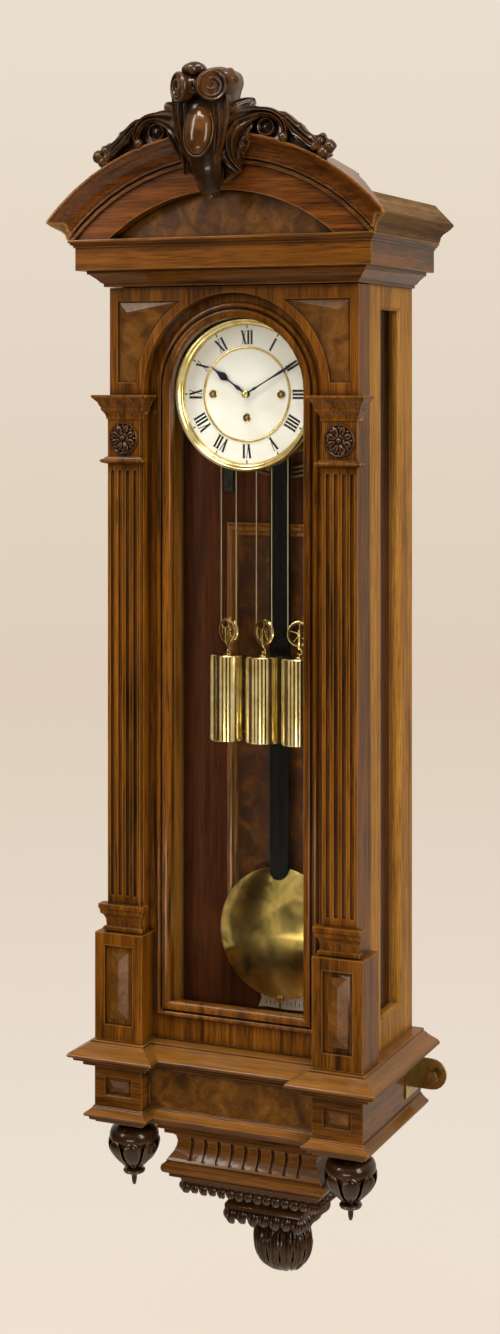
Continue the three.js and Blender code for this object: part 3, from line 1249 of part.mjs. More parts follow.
add(carcass, 'backboard', makeBackboard(), LOOKS.interior);
add(carcass, 'back_frame', makeBackFrame(), LOOKS.moulding);
add(carcass, 'back_burl_panel', makeBackPanel(), LOOKS.burl);
add(carcass, 'side_frame_left', mirrored(makeSideFrame()), LOOKS.sideWood);
add(carcass, 'side_frame_right', cut(makeSideFrame(), strikeHole()), LOOKS.sideWood);
addPair(carcass, 'side_glass', makeSideGlass(), LOOKS.glass);
add(carcass, 'cornice', makeCornice(), LOOKS.walnut);
add(carcass, 'pediment_arch', makeArch(), LOOKS.walnut);
add(carcass, 'tympanum', makeTympanum(), LOOKS.burl);
add(carcass, 'roof', makeRoof(), LOOKS.roofWood);
add(crest, 'crest_cartouche', makeCartouche(), LOOKS.carving);
addPair(crest, 'crest_scroll', makeScroll(), LOOKS.carving);
add(carcass, 'base', makeBase(), LOOKS.walnut);
add(carcass, 'base_burl_panel', makeBaseBurl(), LOOKS.burl);
add(carcass, 'apron', makeApron(), LOOKS.walnut);
add(carcass, 'apron_carving', makeCarving(), LOOKS.carving);
add(carcass, 'bottom_pod', makePod(), LOOKS.carving);
for (const [name, side] of [['left', -1], ['right', 1]]) {
  const finial = add(carcass, `drop_finial_${name}`, makeFinial(), LOOKS.carving);
  finial.position.set(side * pierCentre, -(shaftFront - FINIAL.fromFront), baseBottom);
}
addPair(carcass, 'stabilizer', makeBracket(), LOOKS.brass);
addPair(carcass, 'stabilizer_screw', makeScrew(), LOOKS.brass);

add(door, 'door_frame', makeDoorFrame(), LOOKS.moulding);
add(door, 'spandrel_board', makeSpandrelBoard(), LOOKS.walnut);
addPair(door, 'pilaster', makePilaster(), LOOKS.walnut);
for (const [name, side] of [['left', -1], ['right', 1]]) {
  const rosette = add(door, `rosette_${name}`, makeRosette(), LOOKS.carving);
  rosette.position.set(side * (BODY.halfWidth - SHAFT.width / 2), -shaftFront, ROSETTE.height);
}
add(door, 'door_glass', makePane(), LOOKS.glass);
add(carcass, 'hinge_upper', makeHinge(HINGE.upper), LOOKS.brass);
add(carcass, 'hinge_lower', makeHinge(HINGE.lower), LOOKS.brass);
add(door, 'door_catch', makeCatch(), LOOKS.brass);

add(movement, 'movement_frame', makeMovementFrame(), LOOKS.brass);
add(movement, 'movement_bracket', makeSeat(), LOOKS.steel);
add(movement, 'dial', makeDial(), LOOKS.dial);
add(movement, 'bezel', makeBezel(), LOOKS.brass);
add(movement, 'dial_ring', makeDialRing(), LOOKS.brass);
const hourHand = add(movement, 'hour_hand', makeHourHand(), LOOKS.steel);
const minuteHand = add(movement, 'minute_hand', makeMinuteHand(), LOOKS.steel);
const hourShare = TIME.minutes / 60;
minuteHand.rotation.y = hourShare * 2 * Math.PI;
hourHand.rotation.y = ((TIME.hours + hourShare) / 12) * 2 * Math.PI;
for (const train of trains) {
  const drum = add(movement, `drum_${train.name}`, makeDrum(train.radius), LOOKS.brass);
  drum.position.set(train.x, 0, train.z);
}
const escape = add(movement, 'escape_wheel', makeEscapeWheel(), LOOKS.brass);
escape.position.set(0, 0, ESCAPE.height);
const pallets = add(movement, 'pallets', makePallets(), LOOKS.steel);
pallets.position.set(0, 0, PENDULUM.axis);
const rodMesh = add(movement, 'pendulum_rod', makeRod(), LOOKS.ebony);
rodMesh.position.set(0, -PENDULUM.y, PENDULUM.axis);
const bob = add(movement, 'pendulum_bob', makeBob(), LOOKS.brass);
bob.position.set(0, -PENDULUM.y, PENDULUM.axis);
add(carcass, 'beat_plate', makeBeatPlate(), LOOKS.silvered);
add(carcass, 'gong', makeGong(), LOOKS.brass);
for (const train of trains) {
  const weight = add(movement, `weight_${train.name}`, makeWeight(), LOOKS.brass);
  weight.position.set(train.weightX, -WEIGHT.y, PULLEY.height);
  weight.rotation.z = train.turn;
  const pulley = add(movement, `pulley_${train.name}`, makePulley(), LOOKS.brass);
  pulley.position.copy(weight.position);
  pulley.rotation.z = train.turn;
  add(movement, `cable_${train.name}`, makeCable(train), LOOKS.cord);
}

export default clock;
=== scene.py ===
"""Looks of the wall regulator clock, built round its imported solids."""

from __future__ import annotations

import logging
import math
from dataclasses import dataclass, field
from enum import Enum
from typing import Callable, Sequence

import bmesh
import bpy
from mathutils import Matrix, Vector

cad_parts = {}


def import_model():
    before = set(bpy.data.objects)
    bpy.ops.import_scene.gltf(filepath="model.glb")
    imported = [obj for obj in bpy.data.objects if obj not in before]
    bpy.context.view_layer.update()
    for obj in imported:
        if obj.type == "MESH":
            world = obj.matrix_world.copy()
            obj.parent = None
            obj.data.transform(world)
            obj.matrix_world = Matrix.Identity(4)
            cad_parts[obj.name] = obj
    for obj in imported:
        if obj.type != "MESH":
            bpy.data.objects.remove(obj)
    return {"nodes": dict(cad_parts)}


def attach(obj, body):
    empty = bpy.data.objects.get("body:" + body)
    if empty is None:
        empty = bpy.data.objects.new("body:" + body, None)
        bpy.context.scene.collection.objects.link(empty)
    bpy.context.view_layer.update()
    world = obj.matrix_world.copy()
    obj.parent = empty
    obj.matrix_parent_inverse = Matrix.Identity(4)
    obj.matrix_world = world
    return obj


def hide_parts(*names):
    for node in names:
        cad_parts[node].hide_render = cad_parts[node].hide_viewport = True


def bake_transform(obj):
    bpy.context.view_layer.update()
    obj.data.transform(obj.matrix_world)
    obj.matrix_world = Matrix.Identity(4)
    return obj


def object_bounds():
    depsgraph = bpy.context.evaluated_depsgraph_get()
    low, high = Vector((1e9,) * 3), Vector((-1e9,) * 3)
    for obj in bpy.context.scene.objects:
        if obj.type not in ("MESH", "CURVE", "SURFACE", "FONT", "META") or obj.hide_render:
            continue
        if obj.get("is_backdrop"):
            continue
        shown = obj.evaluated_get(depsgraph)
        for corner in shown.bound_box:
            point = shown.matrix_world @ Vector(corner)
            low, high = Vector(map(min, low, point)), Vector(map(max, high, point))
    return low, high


LOG = logging.getLogger("regulator")
MM = 0.001
# How near points are merged, in metres, and the least radius of a ring, in millimetres
WELD = 0.00001
FINEST = 0.01
# Rays that look for a corner at each point of a surface
CORNER_SAMPLES = 6

Point = tuple[float, float]
Place = tuple[float, float, float]
Ring = list[Vector]
Stops = Sequence[tuple[float, str]]
Piece = bpy.types.Object
Material = bpy.types.Material
Tree = bpy.types.NodeTree
Node = bpy.types.Node
Socket = bpy.types.NodeSocket


class Side(Enum):
    """Left or right half of the clock, with the sign of its X."""

    LEFT = -1
    RIGHT = 1

    @property
    def word(self) -> str:
        """The word that ends the names of this side's pieces."""
        return self.name.lower()

    def mirrored(self, points: Sequence[Place]) -> list[Place]:
        """Points of the right half, brought to this side."""
        return [(self.value * x, y, z) for x, y, z in points]


class Grain(Enum):
    """How the wood's fibres run: upright, or level round a corner from the front to the sides."""

    UP = "up"
    ROUND = "round"


def linear(colour: str) -> tuple[float, float, float, float]:
    """Turn an sRGB hex colour to linear.

    Args:
        colour: Six hex digits with a leading hash sign.

    Returns:
        The linear red, green, blue and alpha.
    """
    shares = [int(colour[i:i + 2], 16) / 255 for i in (1, 3, 5)]
    red, green, blue = [s / 12.92 if s <= 0.04045 else ((s + 0.055) / 1.055) ** 2.4 for s in shares]
    return red, green, blue, 1.0


def wire(tree: Tree, node: Node, links: dict[str | int, Socket]) -> None:
    """Link outputs to a node's inputs, by the name or number of each input."""
    for name, output in links.items():
        tree.links.new(output, node.inputs[name])


def put(tree: Tree, kind: str, links: dict[str | int, Socket] | None = None, values: dict | None = None,
        stops: Stops = (), **settings: object) -> Node:
    """Add a node with its settings and links.

    Args:
        tree: The node tree that gets the node.
        kind: The node's type, such as ShaderNodeMix.
        links: Outputs to link, by the name or number of the input.
        values: Values to set, by the name or number of the input.
        stops: Places and hex colours, for a node with a colour ramp.
        settings: The node's own properties.

    Returns:
        The new node.
    """
    node = tree.nodes.new(kind)
    for name, value in settings.items():
        setattr(node, name, value)
    for name, value in (values or {}).items():
        node.inputs[name].default_value = value
    wire(tree, node, links or {})
    for i, (place, colour) in enumerate(stops):
        if i >= len(node.color_ramp.elements):
            node.color_ramp.elements.new(place)
        node.color_ramp.elements[i].position = place
        node.color_ramp.elements[i].color = linear(colour)
    return node


def blank(name: str, values: dict) -> tuple[Material, Tree, Node]:
    """Make a material that holds only a shader and its output.

    Args:
        name: The material's name.
        values: Values of the shader that are the same all over, by the name of the input.

    Returns:
        The material, its tree and its Principled shader.
    """
    material = bpy.data.materials.new(name)
    material.use_nodes = True
    tree = material.node_tree
    tree.nodes.clear()
    shader = put(tree, "ShaderNodeBsdfPrincipled", None, values)
    put(tree, "ShaderNodeOutputMaterial", {"Surface": shader.outputs["BSDF"]})
    return material, tree, shader


def resurface(tree: Tree, shader: Node) -> None:
    """Show another shader on a material's surface than its first one."""
    output = next(node for node in tree.nodes if node.type == "OUTPUT_MATERIAL")
    wire(tree, output, {"Surface": shader.outputs["Shader"]})


def sized(size_mm: float, detail: float, swirl: float = 0.0) -> dict[str, float]:
    """Values of a noise whose blotches have a real size.

    Args:
        size_mm: Size of one blotch in millimetres.
        detail: Octaves of finer blotches.
        swirl: How much they swirl.

    Returns:
        The values by the name of the input.
    """
    return {"Scale": 1 / (size_mm * MM), "Detail": detail, "Distortion": swirl}


def mottled(tree: Tree, place: Socket, size_mm: float, stops: Stops, detail: float,
            swirl: float = 0.0) -> tuple[Socket, Socket]:
    """Colour a surface in blotches of a real size.

    Args:
        tree: The material's node tree.
        place: The coordinates, in metres.
        size_mm: Size of one blotch in millimetres.
        stops: Places from 0 to 1 with their hex colours.
        detail: Octaves of finer blotches.
        swirl: How much they swirl.

    Returns:
        The colour, and the factor that it comes from.
    """
    noise = put(tree, "ShaderNodeTexNoise", {"Vector": place}, sized(size_mm, detail, swirl))
    colour = put(tree, "ShaderNodeValToRGB", {"Fac": noise.outputs["Fac"]}, stops=stops)
    return colour.outputs["Color"], noise.outputs["Fac"]


def stained(tree: Tree, colour: Socket, factor: Socket, start: float, end: float, strength: float,
            stain: str) -> Socket:
    """Lay a stain, a painted shade or a painted light over a colour, more of it as a factor runs from start to end.

    Args:
        tree: The material's node tree.
        colour: The colour beneath.
        factor: What decides where the stain lies.
        start: The factor where none shows.
        end: The factor where all of it shows.
        strength: How strong it is there, from 0 to 1.
        stain: Hex colour of what is laid over.

    Returns:
        The stained colour.
    """
    amount = put(tree, "ShaderNodeMapRange", {"Value": factor},
                 {"From Min": start, "From Max": end, "To Min": 0.0, "To Max": strength})
    over = put(tree, "ShaderNodeMix", {0: amount.outputs["Result"], 6: colour}, {7: linear(stain)}, data_type="RGBA")
    return over.outputs[2]


def shade_corners_light_edges(tree: Tree, colour: Socket, stain: str, reach_mm: float, strength: float, outer: bool = False) -> Socket:
    """Paint shade into the hollow corners, where old polish gathers too, or a highlight on the outer edges, where
    hands and dusting rub too.

    Args:
        tree: The material's node tree.
        colour: The colour of the rest.
        stain: Hex colour of the painted shade in the corners or of the painted highlight on the edges.
        reach_mm: How far from them it reaches.
        strength: How strong it is, from 0 to 1.
        outer: Whether it lies on the outer edges.

    Returns:
        The colour with its painted shade or highlight.
    """
    near = put(tree, "ShaderNodeAmbientOcclusion", None, {"Distance": reach_mm * MM}, samples=CORNER_SAMPLES,
               inside=outer)
    start, end = (0.75, 0.4) if outer else (0.95, 0.35)
    return stained(tree, colour, near.outputs["AO"], start, end, strength, stain)


def bleached(tree: Tree, colour: Socket, pale: str, waxed: str, strength: float) -> Socket:
    """Paint light on what faces upwards and shade on what faces down, as light from above falls.

    Args:
        tree: The material's node tree.
        colour: The colour of the rest.
        pale: Hex colour of the painted light on the upper faces.
        waxed: Hex colour of the painted shade on the lower faces.
        strength: How strong both are, from 0 to 1.

    Returns:
        The colour with painted light on its tops and painted shade on its undersides.
    """
    place = put(tree, "ShaderNodeNewGeometry").outputs["Normal"]
    upward = put(tree, "ShaderNodeSeparateXYZ", {"Vector": place}).outputs["Z"]
    colour = stained(tree, colour, upward, 0.12, 0.85, strength, pale)
    return stained(tree, colour, upward, -0.1, -0.85, strength, waxed)


def fibres(tree: Tree, grain: Grain, share: float) -> Socket:
    """Object coordinates drawn out along the wood's fibres.

    Args:
        tree: The material's node tree.
        grain: Direction of the fibres.
        share: Scale along the fibres, where 1 leaves them as they are.

    Returns:
        The drawn-out coordinates.
    """
    place = put(tree, "ShaderNodeTexCoord").outputs["Object"]
    if grain is Grain.UP:
        return put(tree, "ShaderNodeMapping", {"Vector": place}, {"Scale": (1.0, 1.0, share)}).outputs["Vector"]
    front = put(tree, "ShaderNodeMapping", {"Vector": place}, {"Scale": (share, 1.0, 1.0)})
    flank = put(tree, "ShaderNodeMapping", {"Vector": place}, {"Scale": (1.0, share, 1.0)})
    facing = put(tree, "ShaderNodeNewGeometry").outputs["True Normal"]
    parts = put(tree, "ShaderNodeSeparateXYZ", {"Vector": facing}).outputs
    across, deep = [put(tree, "ShaderNodeMath", {0: parts[axis]}, operation="ABSOLUTE").outputs["Value"]
                    for axis in ("X", "Y")]
    lead = put(tree, "ShaderNodeMath", {0: across, 1: deep}, operation="SUBTRACT").outputs["Value"]
    turned = put(tree, "ShaderNodeMath", {0: lead}, {1: 0.01}, operation="GREATER_THAN").outputs["Value"]
    return put(tree, "ShaderNodeMix", {0: turned, 4: front.outputs["Vector"], 5: flank.outputs["Vector"]},
               data_type="VECTOR").outputs[1]


@dataclass(frozen=True)
class Walnut:
    """Quarter-sawn walnut, French polished: long fine pores in brown bands under a clear gloss."""

    name: str
    light: str
    middle: str
    dark: str
    grain: Grain = Grain.UP
    pore_mm: float = 1.3
    pore_depth_mm: float = 0.1
    band_mm: float = 16.0
    flame_mm: float = 9.0
    fade_mm: float = 140.0
    length_share: float = 0.035
    # Colour, reach and strength of the painted shade in the corners, where old polish gathers too
    shade_and_grime: str = "#150801"
    shade_and_grime_reach_mm: float = 10.0
    shade_and_grime_strength: float = 0.97
    # Colour, strength and reach of the painted highlight on the outer edges, which are rubbed there too, and strength
    # of painted light on upper faces and painted shade on lower ones
    bare: str = "#C48A42"
    edge_highlight_and_rub: float = 0.6
    edge_highlight_and_rub_mm: float = 2.5
    top_light_and_under_shade: float = 0.0
    roughness: float = 0.34
    shine: float = 0.12
    polish: float = 0.45

    def build(self) -> Material:
        """Make the material.

        Returns:
            The material.
        """
        material, tree, shader = blank(self.name, {"Specular IOR Level": self.shine, "Coat Weight": self.polish,
                                                   "Coat Roughness": 0.1})
        # Broad bands of the growth rings, and the flame that polish brings out between them
        along = fibres(tree, self.grain, self.length_share)
        bands = ((0.33, self.dark), (0.5, self.middle), (0.67, self.light))
        colour, ring = mottled(tree, along, self.band_mm, bands, 4.0, 1.2)
        loose = fibres(tree, self.grain, self.length_share * 3)
        flame = put(tree, "ShaderNodeTexNoise", {"Vector": loose}, sized(self.flame_mm, 2.0, 0.6)).outputs["Fac"]
        colour = stained(tree, colour, flame, 0.45, 0.7, 0.5, self.light)
        # Dark pores, drawn about twice as wide as the real ones so that they show
        pore = put(tree, "ShaderNodeTexNoise", {"Vector": along}, sized(self.pore_mm, 2.0)).outputs["Fac"]
        colour = stained(tree, colour, pore, 0.46, 0.66, 0.8, self.dark)
        # Wide patches bleached by light, and painted shade in the corners, where old polish gathers too
        place = put(tree, "ShaderNodeTexCoord").outputs["Object"]
        bleach = put(tree, "ShaderNodeTexNoise", {"Vector": place}, sized(self.fade_mm, 2.0)).outputs["Fac"]
        colour = stained(tree, colour, bleach, 0.4, 0.7, 0.3, self.light)
        colour = shade_corners_light_edges(tree, colour, self.shade_and_grime, self.shade_and_grime_reach_mm, self.shade_and_grime_strength)
        # Painted light on faces that look up and painted shade on faces that look down, then a painted highlight on
        # the outer edges, which are rubbed there too
        colour = bleached(tree, colour, self.bare, self.dark, self.top_light_and_under_shade)
        colour = shade_corners_light_edges(tree, colour, self.bare, self.edge_highlight_and_rub_mm, self.edge_highlight_and_rub, outer=True)
        gloss = put(tree, "ShaderNodeMapRange", {"Value": ring},
                    {"To Min": self.roughness - 0.05, "To Max": self.roughness + 0.1})
        bump = put(tree, "ShaderNodeBump", {"Height": pore}, {"Strength": 0.25, "Distance": self.pore_depth_mm * MM},
                   invert=True)
        wire(tree, shader, {"Base Color": colour, "Roughness": gloss.outputs["Result"],
                            "Normal": bump.outputs["Normal"]})
        return material


@dataclass(frozen=True)
class Burl:
    """Walnut burl veneer: swirling knots and clouds with no straight grain, under the same polish."""

    name: str
    light: str
    middle: str
    dark: str
    cloud_mm: float = 26.0
    knot_mm: float = 8.0
    figure_mm: float = 3.2
    # Colour and reach of the painted shade in the corners, where old polish gathers too
    shade_and_grime: str = "#150801"
    shade_and_grime_reach_mm: float = 10.0
    roughness: float = 0.34

    def build(self) -> Material:
        """Make the material.

        Returns:
            The material.
        """
        material, tree, shader = blank(self.name, {"Roughness": self.roughness, "Specular IOR Level": 0.3,
                                                   "Coat Weight": 0.2, "Coat Roughness": 0.13})
        place = put(tree, "ShaderNodeTexCoord").outputs["Object"]
        clouds = ((0.22, self.dark), (0.5, self.middle), (0.8, self.light))
        colour = mottled(tree, place, self.cloud_mm, clouds, 8.0, 0.7)[0]
        # Eyes of the burl, and the fine figure between them
        knots = put(tree, "ShaderNodeTexVoronoi", {"Vector": place}, {"Scale": 1 / (self.knot_mm * MM)})
        colour = stained(tree, colour, knots.outputs["Distance"], 0.32, 0.04, 0.45, self.dark)
        figure = put(tree, "ShaderNodeTexNoise", {"Vector": place}, sized(self.figure_mm, 4.0, 1.4))
        colour = stained(tree, colour, figure.outputs["Fac"], 0.48, 0.7, 0.45, self.dark)
        # Painted shade in the corners
        colour = shade_corners_light_edges(tree, colour, self.shade_and_grime, self.shade_and_grime_reach_mm, 0.9)
        wire(tree, shader, {"Base Color": colour})
        return material


@dataclass(frozen=True)
class Carved:
    """Carved walnut, darkened nearly black in its hollows by painted shade and grime, with painted highlights on its
    high edges, which are rubbed brown and waxed too.
    """

    name: str
    light: str
    middle: str
    dark: str
    roughness: float = 0.27
    patch_mm: float = 28.0
    # Colour and reach of the painted shade in the hollows, grime there too, and reach of the painted highlight on the
    # outer edges
    hollow: str = "#070301"
    hollow_shade_mm: float = 9.0
    edge_highlight_and_rub_mm: float = 2.0
    cut_mm: float = 3.0
    cut_depth_mm: float = 0.5

    def build(self) -> Material:
        """Make the material.

        Returns:
            The material.
        """
        material, tree, shader = blank(self.name, {"Roughness": self.roughness, "Specular IOR Level": 0.3,
                                                   "Coat Weight": 0.6, "Coat Roughness": 0.1})
        place = put(tree, "ShaderNodeTexCoord").outputs["Object"]
        patches = ((0.32, self.dark), (0.55, self.middle), (0.78, self.light))
        colour = mottled(tree, place, self.patch_mm, patches, 5.0, 0.8)[0]
        # Painted highlight on the sharp edges, painted shade nearly black in the hollows, and a painted highlight on
        # the outer edges, which are rubbed there too
        edge = put(tree, "ShaderNodeNewGeometry").outputs["Pointiness"]
        colour = stained(tree, colour, edge, 0.51, 0.58, 0.7, self.light)
        colour = shade_corners_light_edges(tree, colour, self.hollow, self.hollow_shade_mm, 0.97)
        colour = shade_corners_light_edges(tree, colour, self.light, self.edge_highlight_and_rub_mm, 0.5, outer=True)
        # Marks of the gouge
        cuts = put(tree, "ShaderNodeTexNoise", {"Vector": place}, sized(self.cut_mm, 2.0)).outputs["Fac"]
        bump = put(tree, "ShaderNodeBump", {"Height": cuts}, {"Strength": 0.35, "Distance": self.cut_depth_mm * MM})
        wire(tree, shader, {"Base Color": colour, "Normal": bump.outputs["Normal"]})
        return material


@dataclass(frozen=True)
class Brass:
    """Brass, turned or drawn, then polished and lacquered: warm mirror with faint uneven tarnish."""

    name: str
    bright: str
    dull: str
    roughness: float = 0.16
    brushed: float = 0.0
    stain_mm: float = 30.0
    # Colour and reach of the painted shade between the reeds
    groove: str = "#3E2F12"
    groove_shade_mm: float = 0.0

    def build(self) -> Material:
        """Make the material.

        Returns:
            The material.
        """
        material, tree, shader = blank(self.name, {"Metallic": 1.0})
        place = put(tree, "ShaderNodeTexCoord").outputs["Object"]
        colour, tarnish = mottled(tree, place, self.stain_mm, ((0.3, self.dull), (0.6, self.bright)), 5.0, 0.8)
        # Painted shade in the hollows between the reeds
        if self.groove_shade_mm:
            colour = shade_corners_light_edges(tree, colour, self.groove, self.groove_shade_mm, 0.9)
        rough = put(tree, "ShaderNodeMapRange", {"Value": tarnish},
                    {"To Min": self.roughness + 0.08, "To Max": self.roughness - 0.04})
        wire(tree, shader, {"Base Color": colour, "Roughness": rough.outputs["Result"]})
        if self.brushed:
            # Circular marks of the lathe, which draw a reflection out across them
            shader.inputs["Anisotropic"].default_value = self.brushed
            shader.inputs["Anisotropic Rotation"].default_value = 0.25
            lathe = put(tree, "ShaderNodeTangent", direction_type="RADIAL", axis="Y")
            wire(tree, shader, {"Tangent": lathe.outputs["Tangent"]})
        return material


@dataclass(frozen=True)
class Enamel:
    """Fired enamel or engraved silvering: an even pale skin with a soft gloss and slight ageing."""

    name: str
    clean: str
    aged: str
    roughness: float = 0.25
    metal: float = 0.0
    patch_mm: float = 45.0

    def build(self) -> Material:
        """Make the material.

        Returns:
            The material.
        """
        material, tree, shader = blank(self.name, {"Roughness": self.roughness, "Metallic": self.metal,
                                                   "Coat Weight": 0.3})
        place = put(tree, "ShaderNodeTexCoord").outputs["Object"]
        colour = mottled(tree, place, self.patch_mm, ((0.35, self.aged), (0.6, self.clean)), 4.0, 0.3)[0]
        wire(tree, shader, {"Base Color": colour})
        return material


@dataclass(frozen=True)
class DarkSteel:
    """Steel, filed, polished and blued or blacked: almost black with a cool sheen."""

    name: str
    colour: str = "#14161C"
    tint: str = "#232A38"
    roughness: float = 0.3
    metal: float = 0.8
    shine: float = 0.5
    patch_mm: float = 12.0

    def build(self) -> Material:
        """Make the material.

        Returns:
            The material.
        """
        material, tree, shader = blank(self.name, {"Roughness": self.roughness, "Metallic": self.metal,
                                                   "Specular IOR Level": self.shine})
        place = put(tree, "ShaderNodeTexCoord").outputs["Object"]
        colour = mottled(tree, place, self.patch_mm, ((0.4, self.colour), (0.65, self.tint)), 3.0)[0]
        wire(tree, shader, {"Base Color": colour})
        return material


@dataclass(frozen=True)
class SheetGlass:
    """Old drawn sheet glass, clear with a trace of green; lamps shine through it without a dark shadow."""

    name: str
    colour: str = "#FBFDFB"
    index: float = 1.1
    wave_mm: float = 90.0
    wave_height_mm: float = 1.0

    def build(self) -> Material:
        """Make the material.

        Returns:
            The material.
        """
        tint = linear(self.colour)
        material, tree, shader = blank(self.name, {"Base Color": tint, "Roughness": 0.02, "Transmission Weight": 1.0,
                                                   "IOR": self.index})
        place = put(tree, "ShaderNodeTexCoord").outputs["Object"]
        ripple = put(tree, "ShaderNodeTexNoise", {"Vector": place}, sized(self.wave_mm, 1.0)).outputs["Fac"]
        bump = put(tree, "ShaderNodeBump", {"Height": ripple},
                   {"Strength": 0.08, "Distance": self.wave_height_mm * MM})
        wire(tree, shader, {"Normal": bump.outputs["Normal"]})
        clear = put(tree, "ShaderNodeBsdfTransparent", None, {"Color": tint})
        ray = put(tree, "ShaderNodeLightPath").outputs["Is Shadow Ray"]
        resurface(tree, put(tree, "ShaderNodeMixShader", {0: ray, 1: shader.outputs["BSDF"],
                                                          2: clear.outputs["BSDF"]}))
        return material


class Look(Enum):
    """The clock's finishes."""

    FRONT = Walnut("walnut_french_polished_upright", "#8E5410", "#6A3D05", "#2C1501")
    LEVEL = Walnut("walnut_french_polished_level", "#8E5414", "#6B3F08", "#301702", Grain.ROUND, polish=0.65,
                   top_light_and_under_shade=0.22)
    ARCH = Walnut("walnut_red_moulding_level", "#884A12", "#663707", "#301502", Grain.ROUND, band_mm=11.0,
                  polish=0.9, top_light_and_under_shade=0.2)
    # Sides paler than the fronts: partly faded wood, partly painted light where the sides catch more of it
    SIDE = Walnut("walnut_faded_lit_side", "#C88C3A", "#AA7630", "#6E4213", Grain.UP, band_mm=22.0, shade_and_grime_strength=0.75,
                  polish=0.06)
    INSIDE = Walnut("walnut_dark_inside", "#602E0C", "#482006", "#220D02", Grain.UP, roughness=0.5, polish=0.08)
    RAIL = Walnut("walnut_cross_banding", "#A06824", "#784A12", "#3A2208", Grain.UP, band_mm=6.0)
    ROOF = Walnut("walnut_board_bleached", "#8E6E48", "#725231", "#4E361C", Grain.ROUND, roughness=0.6, polish=0.0)
    BURL = Burl("walnut_burl_veneer", "#A26C20", "#70440C", "#2C1803")
    FIELD = Burl("walnut_burl_field", "#946020", "#6E4412", "#382008")
    BURL_DARK = Burl("walnut_burl_inside", "#784612", "#432204", "#160900")
    CARVING = Carved("walnut_carved_waxed", "#623B16", "#2A1707", "#0E0702")
    CABOCHON = Carved("walnut_cabochon_polished", "#7C4E1A", "#523210", "#2A1806", 0.18)
    BRASS = Brass("brass_polished_lacquered", "#DCC384", "#AA9150")
    BEZEL = Brass("brass_bezel_polished", "#E2D09A", "#BBA664", 0.13)
    BOB = Brass("brass_spun", "#BCA45E", "#62562E", 0.2, 0.85)
    WEIGHT = Brass("brass_drawn_tube", "#E6D6A2", "#C4AC6C", 0.16, groove="#3E2F12", groove_shade_mm=4.0)
    WIRE = Brass("bronze_wire", "#8E7A48", "#5E5030", 0.35)
    DIAL = Enamel("enamel_fired_white", "#C6C4C0", "#BDBAB3")
    PAINT = Enamel("enamel_fired_black", "#100E0B", "#16130F")
    SILVER = Enamel("brass_silvered", "#D8D4CA", "#B9B4A8", 0.35, 0.35)
    STEEL = DarkSteel("steel_blued")
    IRON = DarkSteel("iron_cast_blacked", "#2A2A22", "#3A3A2E", 0.55, 0.5)
    EBONY = DarkSteel("pearwood_ebonised_polished", "#060706", "#0A0C0B", 0.12, 0.0, 0.15)
    GLASS = SheetGlass("glass_drawn_sheet")
    LINE = Brass("bronze_stranded_line", "#C9BE9A", "#A39A78", 0.4)


